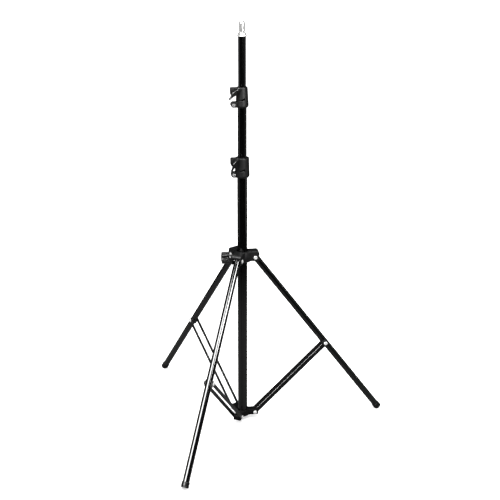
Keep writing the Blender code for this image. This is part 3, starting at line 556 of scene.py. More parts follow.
def bumped(tree, shader, height, distance, strength=1.0):
    """Small relief on the shader's normal."""
    node = tree.nodes.new("ShaderNodeBump")
    node.inputs["Strength"].default_value = strength
    node.inputs["Distance"].default_value = distance
    tree.links.new(height, node.inputs["Height"])
    tree.links.new(node.outputs["Normal"], shader.inputs["Normal"])


def finish(name, dark, light, rough, metallic=0.0, grain=900.0, relief=2e-5, stretch=(1, 1, 1), strength=0.3,
           shine=0.5):
    """A finish whose colour, roughness and relief vary with noise over the piece's own coordinates.

    Dark and light are the ends of its colour, rough those of its roughness. Relief is in metres.
    """
    material, tree, shader = new_material(name)
    coords = tree.nodes.new("ShaderNodeTexCoord").outputs["Object"]
    broad = noise(tree, coords, BROAD_GRAIN, detail=3.0)
    fine = noise(tree, coords, grain, detail=4.0, stretch=stretch)
    tree.links.new(mixed(tree, ranged(tree, broad, 0.0, 1.0), dark, light), shader.inputs["Base Color"])
    tree.links.new(ranged(tree, fine, *rough), shader.inputs["Roughness"])
    shader.inputs["Metallic"].default_value = metallic
    shader.inputs["Specular IOR Level"].default_value = shine
    bumped(tree, shader, fine, relief, strength)
    return material


BROAD_GRAIN = 22.0           # how often the colour varies in a metre
DRAWN = (1, 1, 0.08)         # grain drawn out along the piece
TURNED = (1, 1, 6.0)         # grain turned round the piece
LOOKS = {
    "black_tube_paint": dict(dark=(0.0008, 0.0008, 0.0009), light=(0.0016, 0.0016, 0.0017),
                             rough=(0.09, 0.13), grain=260.0, stretch=DRAWN, relief=2e-6, strength=0.1),
    "dark_moulded_plastic": dict(dark=(0.005, 0.005, 0.0052), light=(0.009, 0.009, 0.0093),
                                 rough=(0.38, 0.50), grain=1500.0, relief=6e-5, strength=0.35, shine=0.2),
    "glossy_moulded_plastic": dict(dark=(0.005, 0.005, 0.0052), light=(0.009, 0.009, 0.0093),
                                   rough=(0.18, 0.26), grain=1500.0, relief=3e-5, strength=0.2),
    # A copy of the moulded plastic whose colour is darker: painted shade for the bracket's place low under
    # the stand
    "shade_darkened_moulded_plastic": dict(dark=(0.0025, 0.0025, 0.0027), light=(0.0045, 0.0045, 0.0047),
                                  rough=(0.42, 0.55), grain=1500.0, relief=6e-5, strength=0.35, shine=0.1),
    "black_strut_paint": dict(dark=(0.002, 0.002, 0.0021), light=(0.004, 0.004, 0.0042), rough=(0.26, 0.36),
                              grain=800.0, shine=0.25),
    "bright_nickel": dict(dark=(0.90, 0.90, 0.89), light=(0.97, 0.97, 0.96), rough=(0.20, 0.30), metallic=0.2,
                          grain=500.0, stretch=TURNED, relief=6e-6),
    "polished_nickel": dict(dark=(0.84, 0.84, 0.83), light=(0.94, 0.94, 0.93), rough=(0.18, 0.26),
                            metallic=0.65, grain=500.0, stretch=TURNED, relief=4e-6, strength=0.2),
    "satin_nickel": dict(dark=(0.40, 0.40, 0.40), light=(0.52, 0.52, 0.52), rough=(0.20, 0.30), metallic=0.5,
                         grain=500.0, stretch=TURNED, relief=6e-6),
    "zinc_steel": dict(dark=(0.42, 0.42, 0.43), light=(0.60, 0.60, 0.61), rough=(0.26, 0.42), metallic=1.0,
                       grain=700.0),
    "black_rubber": dict(dark=(0.002, 0.002, 0.002), light=(0.004, 0.004, 0.004), rough=(0.24, 0.34),
                         grain=1200.0, relief=3e-5, shine=0.25),
    "grey_acetal": dict(dark=(0.12, 0.12, 0.125), light=(0.17, 0.17, 0.175), rough=(0.4, 0.5)),
}
MATERIALS = {name: finish(name, **look) for name, look in LOOKS.items()}


# Column and its stud

def build_column():
    """The three tubes and the plug in the lowest one's foot."""
    for level, skin, station in (
            ("base", tube(BASE_TUBE_R, BASE_TUBE_FOOT, BASE_TUBE_TOP), COLUMN),
            ("middle", tube(MIDDLE_TUBE_R, -MIDDLE_TUBE_LENGTH, 0), MIDDLE_END),
            ("top", tube(TOP_TUBE_R, -TOP_TUBE_LENGTH, 0), TOP_END)):
        name = "lower_column_tube" if level == "base" else f"{level}_column_tube"
        set_piece(name, skin, station, f"{level}_section", "black_tube_paint", f"{level}_tube")
    flange_r, spigot_r = BASE_TUBE_R - PLUG_INSET, BASE_TUBE_R - TUBE_WALL - FIT
    top = PLUG_FLANGE + PLUG_SPIGOT
    plug = lathe([(0, 0, 0), (flange_r, 0, PLUG_CHAMFER), (flange_r, PLUG_FLANGE, 0.3),
                  (spigot_r, PLUG_FLANGE, 0.2), (spigot_r, top, 0.8), (0, top, 0)])
    set_piece("column_foot_plug", plug, COLUMN, "base_section", "dark_moulded_plastic", "base_end_plug")


def build_piston(level, tube_r, bore_r, length, station):
    """An air cushion's piston, with a groove, and the rubber ring in it."""
    spigot_r, head_r, end = tube_r - TUBE_WALL - FIT, bore_r - PISTON_GAP, -length - FIT
    groove_r, low = head_r - SEAL_GROOVE_FLOOR, end - SEAL_MIDDLE - SEAL_HEIGHT / 2
    high, foot, top = low + SEAL_HEIGHT, end - PISTON_HEAD, end + PISTON_SPIGOT
    piston = lathe([(PISTON_BLEED_R, foot, 0.2), (head_r, foot, 1.0), (head_r, low - FIT, 0.2),
                    (groove_r, low - FIT, 0.2), (groove_r, high + FIT, 0.2), (head_r, high + FIT, 0.2),
                    (head_r, end, 0.3), (spigot_r, end, 0.2), (spigot_r, top, 0.6),
                    (PISTON_BLEED_R, top, 0.2)], ROD_SIDES, closed=True)
    body = f"{level}_section"
    set_piece(f"{level}_air_piston", piston, station, body, "grey_acetal", f"{level}_piston")
    inner, outer = groove_r + FIT, bore_r - FIT
    ring = lathe([(inner, low, 0.3), (outer, low, 1.2), (outer, high, 1.2), (inner, high, 0.3)], ROD_SIDES,
                 closed=True)
    set_piece(f"{level}_piston_ring", ring, station, body, "black_rubber", f"{level}_seal_ring")


def stud_field(x, y, z):
    """A turned spigot, flange, neck and domed pin, joined with a hexagon whose flats lean in to its top."""
    r = np.hypot(x, y)
    flange = FIT + STUD_FLANGE
    neck = flange + STUD_HEX
    pin = neck + STUD_NECK
    straight = pin + STUD_PIN
    crown = straight + STUD_NOSE
    spigot = both(r - (TOP_TUBE_R - TUBE_WALL - FIT), -STUD_SPIGOT - z, 0.6)
    spigot = both(spigot, z - flange, 0.1)
    plate = both(both(r - STUD_FLANGE_R, FIT - z, 0.6), z - flange, 0.7)
    lean = (STUD_HEX_FLATS - STUD_HEX_TOP_FLATS) / 2 / STUD_HEX
    nut = hexagon(x, y, STUD_HEX_FLATS / 2 - lean * (z - flange), 0.5, math.pi / 6)
    nut = both(nut, r - STUD_HEX_FLATS * STUD_HEX_CORNER, 0.5)
    nut = both(both(nut, z - neck, 0.5), flange - SUNK - z, 0.1)
    waist = both(both(r - STUD_NECK_R, z - pin - 2 * SUNK, 0.1), flange - z, 0.1)
    rise = np.clip((z - straight) / STUD_NOSE, 0, 1)
    dome = STUD_PIN_R - (STUD_PIN_R - STUD_NOSE_R) * rise ** 2
    shank = both(both(r - dome, pin - z, 0.9), z - crown, 1.6)
    return either(either(either(spigot, plate, 0.2), nut, 0.4), either(waist, shank, 0.3), 0.3)


def build_stud():
    """The lighting stud on the top tube."""
    top = FIT + STUD_FLANGE + STUD_HEX + STUD_NECK + STUD_PIN + STUD_NOSE
    reach = STUD_FLANGE_R
    skin = net(stud_field, (-reach, -reach, -STUD_SPIGOT), (reach, reach, top), SMALL_PITCH)
    set_piece("lighting_stud", skin, TOP_END, "top_section", "bright_nickel", "stud", look="polished_nickel")


# Tube clamps

def collar_field(clamp):
    """A turned collar joined with two pairs of ears, less its bore, slit, side notch and bolt holes."""
    foot, top = COLLAR_FOOT, COLLAR_TOP
    foot_r, top_r = clamp["tube"] + clamp["wall"], clamp["tube"] + clamp["top_wall"]
    chamfer = clamp["top_chamfer"]
    axis_x = -(foot_r + clamp["standoff"])
    end_x, ceiling = axis_x - WING_EAR_R, foot + NOTCH_TOP_Z
    slope = [(NOTCH_X, ceiling - NOTCH_MOUTH), *[(u, foot + v) for u, v in NOTCH_SLOPE]]

    def field(x, y, z):
        r = np.hypot(x, y)
        width = np.abs(y) - EAR_HALF_WIDTH
        body = outline(r, z, [(PAST_AXIS, foot, 0.1), (foot_r - COLLAR_FOOT_CHAMFER, foot, 1.2),
                              (foot_r, foot + COLLAR_FOOT_RISE, 1.6), (top_r, top - chamfer, 0.8),
                              (top_r - chamfer, top, 0.6), (PAST_AXIS, top, 0.1)])
        lug = np.hypot(x - np.clip(x, axis_x, 0), z - foot - FOOT_EAR_Z) - FOOT_EAR_R
        lug = both(lug, width, 1.0)
        block = both(both(end_x - x, z - (top - chamfer), WING_EAR_ROUND), ceiling - SUNK - z, WING_EAR_HEEL)
        block = both(both(block, x - foot_r / 2, 0.5), width, 1.0)
        body = either(either(body, lug, 1.5), block, 1.5)
        seat = np.maximum(r - clamp["tube"] - FIT, z - top + COLLAR_LIP)
        body = less(body, np.minimum(seat, r - clamp["sliding"] - LIP_GAP), 0.5)
        body = less(body, np.maximum(np.abs(y) - SLIT / 2, x), 0.5)
        floor = both(past(x, z, slope[0], slope[1]), past(x, z, slope[1], slope[2]), 2.0)
        floor = both(floor, slope[2][1] - z, 2.0)
        body = less(body, both(both(floor, z - ceiling, 0.6), x - NOTCH_X, 0.5), 0.8)
        body = less(body, np.hypot(x - axis_x, z - foot - FOOT_EAR_Z) - BOLT_R - PIN_FIT, 0.3)
        return less(body, np.hypot(x - axis_x, z - foot - WING_EAR_Z) - WING_SCREW_R - PIN_FIT, 0.3)

    return field, (end_x, -foot_r, foot), (foot_r, foot_r, top)


def wing_field(clamp):
    """A round hub joined with two wings, less the screw's hole.

    A wing's half width swells from tip to root as a bell curve: e to the minus square of the way along it.
    """
    near = clamp["tube"] + clamp["wall"] + WING_CLEAR
    far = near + WING_DEPTH
    hub_far = far - WING_HUB_INSET
    straight = WING_REACH - WING_TIP_R
    c, s = math.cos(clamp["angle"]), math.sin(clamp["angle"])

    def field(x, y, z):
        u, v = x * c + z * s, z * c - x * s
        along = np.clip(u, -straight, straight)
        half = WING_TIP_R + (WING_ROOT_R - WING_TIP_R) * np.exp(-(along / WING_BELL) ** 2)
        wings = np.hypot(u - along, v) - half
        wings = both(both(wings, y + near, 1.5), -far - y, 1.7)
        hub = both(both(np.hypot(x, z) - WING_HUB_R, y + EAR_SEAT, 0.4), -hub_far - y, 1.2)
        hole = np.maximum(np.hypot(x, z) - WING_SCREW_R - PIN_FIT, -y - hub_far + WING_HOLE_FLOOR)
        return less(either(hub, wings, 1.6), hole, 0.3)

    return field, (-WING_REACH, -far, -WING_REACH), (WING_REACH, -EAR_SEAT, WING_REACH), hub_far


def nut_skin(flats, height, hole_r):
    """A hexagon nut on Y: six flats and two cones overlapped, less the hole."""
    rise = NUT_CONE / 2 * flats

    def field(x, y, z):
        r = np.hypot(x, z)
        body = both(hexagon(z, x, flats / 2, 0.15), both(y - EAR_SEAT - height, EAR_SEAT - y, 0.1), 0.2)
        cone = both(NUT_CONE * r + y - EAR_SEAT - height - rise, NUT_CONE * r - y + EAR_SEAT - rise, 0.1)
        return less(both(body, cone, 0.2), r - hole_r, 0.25)

    reach = flats * NUT_CORNER
    return net(field, (-reach, EAR_SEAT, -reach), (reach, EAR_SEAT + height, reach), NUT_PITCH)


def build_clamp(level, clamp, station, section):
    """A split collar with its bush, bolt and nuts, and the wing knob on its screw."""
    plastic, nickel, steel = "dark_moulded_plastic", "bright_nickel", "zinc_steel"
    field, low, high = collar_field(clamp)
    collar = net(field, low, high, COLLAR_PITCH)
    set_piece(f"{level}_split_collar", collar, station, section, plastic, f"{level}_lock_collar")
    wall = clamp["tube"] - (clamp["sliding"] + FIT)
    bush = tube(clamp["tube"], FIT * 2, COLLAR_TOP - BUSH_END, wall, 0.25)
    set_piece(f"{level}_bush_ring", bush, station, section, "grey_acetal", f"{level}_guide_bush")

    axis_x = -(clamp["tube"] + clamp["wall"] + clamp["standoff"])
    foot_ear = station @ shift(axis_x, 0, COLLAR_FOOT + FOOT_EAR_Z)
    wing_ear = station @ shift(axis_x, 0, COLLAR_FOOT + WING_EAR_Z)
    tip, crown = EAR_SEAT + NUT_HEIGHT + THREAD_END, -EAR_SEAT - BOLT_HEAD
    bolt = lathe([(0, crown + BOLT_RECESS, 0), (BOLT_RECESS_R, crown + BOLT_RECESS, 0.2),
                  (BOLT_RECESS_R, crown, 0.25), (BOLT_HEAD_R, crown, 0.8), (BOLT_HEAD_R, -EAR_SEAT, 0.15),
                  (BOLT_R, -EAR_SEAT, 0.15), (BOLT_R, tip, 0.4), (0, tip, 0)], SCREW_SIDES)
    set_piece(f"{level}_ear_bolt", bolt, foot_ear @ ALONG_Y, section, nickel, f"{level}_clamp_bolt",
              look="satin_nickel")
    nut = nut_skin(NUT_FLATS, NUT_HEIGHT, BOLT_R + PIN_FIT)
    set_piece(f"{level}_ear_nut", nut, foot_ear, section, steel, f"{level}_clamp_nut")
    nut = nut_skin(WING_NUT_FLATS, WING_NUT_HEIGHT, WING_SCREW_R + PIN_FIT)
    set_piece(f"{level}_wing_lock_nut", nut, wing_ear, section, steel, f"{level}_wing_nut")

    field, low, high, hub_far = wing_field(clamp)
    knob = net(field, low, high, SMALL_PITCH)
    set_piece(f"{level}_two_wing_knob", knob, wing_ear, f"{level}_wing_knob_body", plastic,
              f"{level}_wing_knob", look="glossy_moulded_plastic")
    screw = rod(WING_SCREW_R, WING_HOLE_FLOOR - hub_far + FIT, EAR_SEAT + WING_NUT_HEIGHT + THREAD_END)
    set_piece(f"{level}_knob_screw", screw, wing_ear @ ALONG_Y, f"{level}_wing_screw_body", steel,
              f"{level}_wing_screw")


# Legs and struts

def rivet(half_length):
    """A rivet: a shank between two domed heads with a dimple in each, turned about its axis."""
    shoulder = half_length - RIVET_HEAD
    end = [(r, half_length - depth, fillet) for r, depth, fillet in RIVET_CROWN]
    end += [(RIVET_HEAD_R, shoulder, 0.15), (RIVET_R, shoulder, 0.1)]
    other = [(r, -h, fillet) for r, h, fillet in end]
    return lathe(other + end[::-1], SCREW_SIDES, steps=4)


def strut_field(x, y, z):
    """A flat bar with round ends and two pivot holes, its edges rounded. Its middle plane is y = 0."""
    flat = np.hypot(x - np.clip(x, 0, STRUT_REACH), z) - STRUT_WIDTH / 2
    bar = both(flat, np.abs(y) - STRUT_THICKNESS / 2, 0.45)
    bar = less(bar, np.hypot(x, z) - RIVET_HOLE_R, 0.2)
    return less(bar, np.hypot(x - STRUT_REACH, z) - RIVET_HOLE_R, 0.2)


def clip_field(x, y, z):
    """A square block with round corners, open on the leg's outer side, less the leg's bore and pivot hole."""
    reach = CLIP_WIDTH / 2 - CLIP_CORNER
    square = np.hypot(np.maximum(np.abs(y) - reach, 0), np.maximum(np.abs(z) - reach, 0)) - CLIP_CORNER
    block = both(both(square, z - CLIP_RIM, 0.6), np.abs(x) - CLIP_LENGTH / 2, 1.2)
    block = less(block, np.hypot(y, z) - LEG_R - FIT, 0.5)
    return less(block, np.hypot(x, z) - RIVET_HOLE_R, 0.3)


def plug_field(play):
    """A knuckle with flats, rounded about its pivot, joined with its spigot in the tube, less its hole."""
    seat = TUBE_START - FIT

    def field(x, y, z):
        knuckle = np.hypot(np.minimum(x, 0), z) - (LEG_R - KNUCKLE_FLAT)
        knuckle = both(both(knuckle, np.hypot(y, z) - LEG_R, 0.8), x - seat, 0.4)
        spigot = both(np.hypot(y, z) - (LEG_R - TUBE_WALL - FIT), x - seat - TOP_SPIGOT, 0.8)
        spigot = both(spigot, seat - SUNK - x, 0.1)
        return less(either(knuckle, spigot, 0.1), np.hypot(x, z) - RIVET_R - play, 0.4)

    return field


def foot_field(x, y, z):
    """A cup on the leg's end with a groove round it, less its bore, its sole cut level with the floor.

    x runs down the leg from the clip's pivot.
    """
    lower = LEG_REACH - CLIP_REACH
    r = np.hypot(y, z)
    cup = both(both(r - FOOT_R, lower - FOOT_LENGTH - x, 1.0), x - lower, 1.4)
    groove = np.hypot(x - lower + FOOT_GROOVE_RISE, r - FOOT_R - FOOT_GROOVE_PROUD) - FOOT_GROOVE_R
    cup = less(cup, groove, 0.3)
    cup = less(cup, both(r - LEG_R - FIT, x - lower + FOOT_FLOOR, 0.1), 0.6)
    return both(cup, x * math.cos(LEG_ANGLE) - z * math.sin(LEG_ANGLE) - (CLIP_Z - FLOOR_Z), 0.5)


def build_legs():
    """Struts, legs and their rivets. Each shape is worked out once and placed on each leg's stations."""
    plastic, paint, nickel = "dark_moulded_plastic", "black_tube_paint", "bright_nickel"
    half, thick, side = STRUT_WIDTH / 2, STRUT_THICKNESS / 2, CLIP_WIDTH / 2
    upper, lower = -CLIP_REACH, LEG_REACH - CLIP_REACH
    bar = net(strut_field, (-half, -thick, -half), (STRUT_REACH + half, thick, half), STRUT_PITCH)
    pin = rivet(STRUT_OUTER + FIT + RIVET_HEAD)
    leg_tube = tube(LEG_R, upper + TUBE_START, lower - FOOT_FLOOR - FIT)
    clip = net(clip_field, (-CLIP_LENGTH / 2, -side, -side), (CLIP_LENGTH / 2, side, side), PITCH)
    foot = net(foot_field, (lower - FOOT_LENGTH, -FOOT_R, -FOOT_R), (lower, FOOT_R, FOOT_R), PITCH)
    knuckle = [net(plug_field(play), (-LEG_R, -LEG_R, -LEG_R), (TUBE_START + TOP_SPIGOT, LEG_R, LEG_R), PITCH)
               for play in (PIN_FIT, OPEN_PIVOT_PLAY, OPEN_PIVOT_PLAY)]
    for leg in LEGS:
        n = leg + 1
        strut, body = f"strut_{n}", f"leg_{n}"
        at_foot, at_clip = STRUT_PIVOT[leg], CLIP_PIVOT[leg]
        for name, sign in (("left", 1), ("right", -1)):
            station = at_foot @ shift(0, sign * (STRUT_INNER + STRUT_OUTER) / 2, 0)
            set_piece(f"leg_{n}_{name}_flat_bar", bar, station, strut, "black_strut_paint",
                      f"strut_{n}_{name}")
        set_piece(f"leg_{n}_foot_bracket_rivet", pin, at_foot @ ALONG_Y, "base_section", nickel,
                  f"bottom_rivet_{n}")
        set_piece(f"leg_{n}_clip_rivet", pin, at_clip @ ALONG_Y, body, nickel, f"mid_rivet_{n}")
        set_piece(f"leg_{n}_round_tube", leg_tube, at_clip @ ALONG_X, body, paint, f"leg_tube_{n}")
        set_piece(f"leg_{n}_strut_clip", clip, at_clip, body, plastic, f"leg_clip_{n}")
        set_piece(f"leg_{n}_rubber_foot", foot, at_clip, body, "black_rubber", f"leg_foot_{n}")
        set_piece(f"leg_{n}_top_knuckle", knuckle[leg], at_clip @ shift(upper, 0, 0), body, plastic,
                  f"leg_top_plug_{n}", look=paint)


# Bracket, leg collar and leg lock

def arms_of(x, y):
    """A point's place along and across each of the three arms."""
    for leg in LEGS:
        c, s = math.cos(math.tau * leg / len(LEGS)), math.sin(math.tau * leg / len(LEGS))
        yield x * c + y * s, y * c - x * s


def bracket_field(x, y, z):
    """A ring joined with three arms, less its bore, rivet holes and screw hole."""
    r = np.hypot(x, y)
    low, high = BRACKET_LOW, BRACKET_HIGH
    reach = PIVOT_R + BRACKET_END
    ring_r = BASE_TUBE_R + FIT + BRACKET_RING_WALL
    body = both(r - ring_r, np.abs(z - (low + high) / 2) - (high - low) / 2 - BRACKET_RING_PROUD, 1.0)
    for along, across in arms_of(x, y):
        arm = both(both(along - reach, z - high, BRACKET_TOP_ROUND), low - z, BRACKET_FOOT_ROUND)
        arm = both(both(arm, np.abs(across) - CLIP_WIDTH / 2, 1.2), -along, 0.1)
        body = either(body, arm, 1.5)
    body = less(body, r - BASE_TUBE_R - FIT, 0.4)
    for along, across in arms_of(x, y):
        hole = np.maximum(np.hypot(along - PIVOT_R, z - STRUT_PIVOT_Z) - RIVET_HOLE_R, -along)
        body = less(body, hole, 0.3)
    hole = np.hypot(y, z - STRUT_PIVOT_Z) - (BRACKET_SCREW_R + PIN_FIT)
    return less(body, np.maximum(hole, x), 0.2)


def leg_collar_field(x, y, z):
    """A hub that narrows upwards, joined with three arms and a boss, less its bore, leg pockets and holes."""
    r = np.hypot(x, y)
    low, high = -ARM_DROP - HUB_PROUD, ARM_RISE + HUB_PROUD
    body = outline(r, z, [(PAST_AXIS, low, 0.1), (HUB_R, low, 1.2), (HUB_R, HUB_SHOULDER, 2.5),
                          (HUB_TOP_R, high, 1.5), (PAST_AXIS, high, 0.1)])
    reach = PIVOT_R + ARM_END
    for along, across in arms_of(x, y):
        arm = both(both(along - reach, z - ARM_RISE, ARM_TOP_ROUND), -ARM_DROP - z, ARM_FOOT_ROUND)
        arm = both(both(arm, np.abs(across) - ARM_HALF_WIDTH, 1.6), -along, 0.1)
        body = either(body, arm, 2.0)
    boss = both(np.hypot(y, z + LOCK_DROP) - BOSS_R, -BOSS_END - x, 0.6)
    body = either(body, both(boss, x, 0.1), 1.5)
    body = less(body, r - COLLAR_BORE_R, 0.8)
    roof, nose = ARM_RISE - POCKET_ROOF, reach - HOOD_WALL
    for along, across in arms_of(x, y):
        under = both(both(along - nose, z - roof, HOOD_ROUND), POCKET_START - along, 1.0)
        mouth = both(z - HOOD_LIP, POCKET_START - along, 1.0)
        pocket = both(either(under, mouth, 0.3), np.abs(across) - POCKET_HALF_WIDTH, 0.6)
        body = less(body, pocket, 0.5)
        hole = np.maximum(np.hypot(along - PIVOT_R, z) - RIVET_HOLE_R, -along)
        body = less(body, hole, 0.3)
    return less(body, np.maximum(np.hypot(y, z + LOCK_DROP) - INSERT_R - FIT, x), 0.3)


def knob_field(x, y, z):
    """A round knob on X whose radius ripples as a cosine into six lobes, its end dished, less its hole."""
    low, high = BOSS_END + LOCK_KNOB_GAP, BOSS_END + LOCK_KNOB_GAP + LOCK_KNOB_LENGTH
    r = np.hypot(y, z)
    ripple = LOCK_KNOB_DEPTH / 2 * (1 - np.cos(LOCK_KNOB_LOBES * (np.arctan2(z, y) - LOCK_KNOB_TURN)))
    rim = (r - LOCK_KNOB_R + ripple) / LOCK_RIM_STRETCH
    body = both(both(rim, x + low, 1.8), -high - x, 2.6)
    dish = np.hypot(np.maximum(r - LOCK_DISH_R, 0), x + high + LOCK_DISH_OUT) - LOCK_DISH_DEPTH
    body = less(body, dish, 0.5)
    depth = COLLAR_BORE_R + LOCK_PAD + FIT + LOCK_SCREW_LENGTH + FIT
    return less(body, np.maximum(r - LOCK_SCREW_R - PIN_FIT, -x - depth), 0.3)


def build_bracket():
    """The strut bracket on the column's foot, and its screw."""
    reach, low, high = PIVOT_R + BRACKET_END, BRACKET_LOW - OUTSIDE, BRACKET_HIGH + OUTSIDE
    skin = net(bracket_field, (-reach, -reach, low), (reach, reach, high), PITCH)
    # The bracket wears the darker copy of its plastic, painted shade for its place near the floor
    set_piece("strut_bracket", skin, COLUMN, "base_section", "dark_moulded_plastic", "bottom_bracket",
              look="shade_darkened_moulded_plastic")
    seat = -(BASE_TUBE_R + FIT + BRACKET_RING_WALL + FIT)
    crown, end = seat - BRACKET_SCREW_HEAD, seat + BRACKET_SCREW_DEPTH
    screw = lathe([(0, crown, 0), (BRACKET_SCREW_CROWN_R, crown, 0.6),
                   (BRACKET_SCREW_HEAD_R, seat - BRACKET_SCREW_RIM, 0.6), (BRACKET_SCREW_HEAD_R, seat, 0.15),
                   (BRACKET_SCREW_R, seat, 0.1), (BRACKET_SCREW_R, end, 0.3), (0, end, 0)], SMALL_SCREW_SIDES)
    station = shift(0, 0, STRUT_PIVOT_Z) @ ALONG_X
    set_piece("bracket_fixing_screw", screw, station, "base_section", "zinc_steel", "bottom_bracket_screw")


def build_leg_collar():
    """The collar that carries the legs' top pivots, with its rivets and the leg lock."""
    plastic, hub, axle = "dark_moulded_plastic", "leg_collar_set", LOCK @ ALONG_X
    reach, low, high = PIVOT_R + ARM_END, -ARM_DROP - HUB_PROUD, ARM_RISE + HUB_PROUD
    skin = net(leg_collar_field, (-reach, -reach, low), (reach, reach, high), COLLAR_PITCH)
    set_piece("three_arm_leg_collar", skin, HUB, hub, plastic, "leg_collar")
    pin = rivet(ARM_HALF_WIDTH + FIT + RIVET_HEAD)
    for leg, plane in zip(LEGS, PLANE):
        station = HUB @ plane @ shift(PIVOT_R, 0, 0) @ ALONG_Y
        set_piece(f"leg_{leg + 1}_collar_rivet", pin, station, hub, "bright_nickel", f"top_rivet_{leg + 1}")

    insert = tube(INSERT_R, -BOSS_END + FIT, -INSERT_START, INSERT_R - LOCK_SCREW_R - PIN_FIT, 0.2)
    set_piece("threaded_insert", insert, axle, hub, "zinc_steel", "leg_collar_insert")
    pad_end = COLLAR_BORE_R + LOCK_PAD
    pad = rod(LOCK_PAD_R, -pad_end, -COLLAR_BORE_R)
    set_piece("lock_pressure_pad", pad, axle, "leg_lock_screw", "grey_acetal", "leg_lock_pad")
    start = pad_end + FIT
    screw = rod(LOCK_SCREW_R, -start - LOCK_SCREW_LENGTH, -start)
    set_piece("lock_knob_screw", screw, axle, "leg_lock_screw", "zinc_steel", "leg_collar_screw")
    near, far = BOSS_END + LOCK_KNOB_GAP, BOSS_END + LOCK_KNOB_GAP + LOCK_KNOB_LENGTH
    knob = net(knob_field, (-far, -LOCK_KNOB_R, -LOCK_KNOB_R), (-near, LOCK_KNOB_R, LOCK_KNOB_R), PITCH)
    set_piece("six_lobe_lock_knob", knob, LOCK, "leg_lock_knob", plastic, "leg_collar_knob",
              look="glossy_moulded_plastic")


# Camera, light and floor. Places here are in metres.

# Each light: its place and aim, to the right of the camera's line through the column, nearer and up; its
# width and height, its power, and whether it lights matt surfaces or is only mirrored by glossy ones
LIGHTS = {
    "left strip": ((-1.5, 0.15, 0.75), (0, 0, 0.75), (0.5, 1.5), 1.6, True),
    "right strip": ((1.6, 0.05, 0.75), (0, 0, 0.75), (0.5, 1.5), 1.6, True),
    "top softbox": ((0, 0.2, 3.2), (0, 0, 0.6), (1.6, 1.6), 90, True),
    "left panel": ((-1.85, 2.8, 2.66), (0, 0.2, 0.2), (2.7, 1.7), 480, False),
    "right panel": ((0.78, 1.2, 1.26), (0, 0.15, 0.4), (0.6, 0.35), 55, False),
}
FLOOR_SIZE = 60.0
FLOOR_SEEN = 0.94            # floor's shade to the camera
FLOOR_GLOW = 0.45            # what it gives off to the camera alone, so that it clips to white
FLOOR_BOUNCE = 0.16          # its shade to matt surfaces
FLOOR_MIRRORED = (0.18, 0.01)    # its shade in glossy surfaces, near the stand and far from it
FLOOR_NEAR = 0.7
FLOOR_FAR = 1.3
FLOOR_ROUGHNESS = 0.9
SKY_LIGHT = 1.1              # backdrop's strength
SKY_MIRRORED = 0.02          # its strength in glossy surfaces


def build_camera():
    """The camera that the photograph was fitted with. Gives the way that it looks."""
    flat = math.cos(CAMERA_PITCH)
    look = Vector((math.cos(CAMERA_HEADING) * flat, math.sin(CAMERA_HEADING) * flat, math.sin(CAMERA_PITCH)))
    level = Vector((math.sin(CAMERA_HEADING), -math.cos(CAMERA_HEADING), 0))
    across = level * math.cos(CAMERA_ROLL) + level.cross(look) * math.sin(CAMERA_ROLL)
    data = bpy.data.cameras.new("photo camera")
    data.sensor_width = SENSOR_WIDTH
    data.lens = SENSOR_WIDTH * FOCAL_LENGTH / PICTURE_WIDTH
    data.shift_x = PICTURE_SHIFT / PICTURE_WIDTH
    data.clip_end = FAR_END
    camera = bpy.data.objects.new("photo camera", data)
    camera.location = CAMERA_PLACE
    camera.rotation_mode = "QUATERNION"
    camera.rotation_quaternion = Matrix((across, across.cross(look), -look)).transposed().to_quaternion()
    bpy.context.scene.collection.objects.link(camera)
    bpy.context.scene.camera = camera
    return look


def build_lights(look):
    """Rectangular area lights, each facing its aim, placed by the way that the camera looks."""
    side = Vector((look.y, -look.x, 0)).normalized()
    toward = -Vector((look.x, look.y, 0)).normalized()
    for name, (at, aim, size, power, lights_matt) in LIGHTS.items():
        at, aim = (side * right + toward * near + Vector((0, 0, up)) for right, near, up in (at, aim))
        data = bpy.data.lights.new(name, "AREA")
        data.shape = "RECTANGLE"
        data.size, data.size_y = size
        data.energy = power
        light = bpy.data.objects.new(name, data)
        light.location = at
        light.rotation_mode = "QUATERNION"
        light.rotation_quaternion = (aim - at).to_track_quat("-Z", "Y")
        light.visible_diffuse = lights_matt
        bpy.context.scene.collection.objects.link(light)


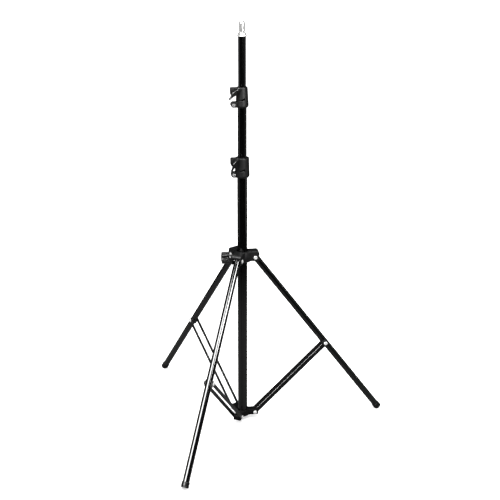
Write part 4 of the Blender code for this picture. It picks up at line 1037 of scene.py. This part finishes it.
def build_floor():
    """A floor that is white to the camera with the stand's faint shadow, and darker to the stand itself."""
    bpy.ops.mesh.primitive_plane_add(size=FLOOR_SIZE, location=(0, 0, FLOOR_Z * MM))
    floor = bpy.context.object
    floor.name = "floor"
    material, tree, shader = new_material("pale floor")
    path = tree.nodes.new("ShaderNodeLightPath")
    where = tree.nodes.new("ShaderNodeTexCoord").outputs["Object"]
    reach = tree.nodes.new("ShaderNodeVectorMath")
    reach.operation = "LENGTH"
    tree.links.new(where, reach.inputs[0])
    mirrored = ranged(tree, reach.outputs["Value"], *FLOOR_MIRRORED, FLOOR_NEAR, FLOOR_FAR)
    shade = ranged(tree, path.outputs["Is Glossy Ray"], FLOOR_BOUNCE, mirrored, 0.0, 1.0)
    shade = ranged(tree, path.outputs["Is Camera Ray"], shade, FLOOR_SEEN, 0.0, 1.0)
    tree.links.new(shade, shader.inputs["Base Color"])
    glow = ranged(tree, path.outputs["Is Camera Ray"], 0.0, FLOOR_GLOW, 0.0, 1.0)
    tree.links.new(glow, shader.inputs["Emission Strength"])
    shader.inputs["Emission Color"].default_value = (1, 1, 1, 1)
    shader.inputs["Roughness"].default_value = FLOOR_ROUGHNESS
    shader.inputs["Specular IOR Level"].default_value = 0.0
    floor.data.materials.append(material)


def build_backdrop():
    """A white world that lights the stand evenly and is nearly black in its glossy surfaces."""
    world = bpy.data.worlds.new("white backdrop")
    world.use_nodes = True
    tree = world.node_tree
    background = tree.nodes["Background"]
    path = tree.nodes.new("ShaderNodeLightPath")
    strength = ranged(tree, path.outputs["Is Glossy Ray"], SKY_LIGHT, SKY_MIRRORED, 0.0, 1.0)
    tree.links.new(strength, background.inputs["Strength"])
    background.inputs["Color"].default_value = (1, 1, 1, 1)
    bpy.context.scene.world = world
    bpy.context.scene.view_settings.view_transform = "Standard"


build_column()
build_piston("middle", MIDDLE_TUBE_R, BASE_TUBE_R - TUBE_WALL, MIDDLE_TUBE_LENGTH, MIDDLE_END)
build_piston("top", TOP_TUBE_R, MIDDLE_TUBE_R - TUBE_WALL, TOP_TUBE_LENGTH, TOP_END)
build_stud()
build_clamp("lower", LOWER_CLAMP, BASE_END, "base_section")
build_clamp("upper", UPPER_CLAMP, MIDDLE_END, "middle_section")
build_legs()
build_bracket()
build_leg_collar()
build_lights(build_camera())
build_floor()
build_backdrop()
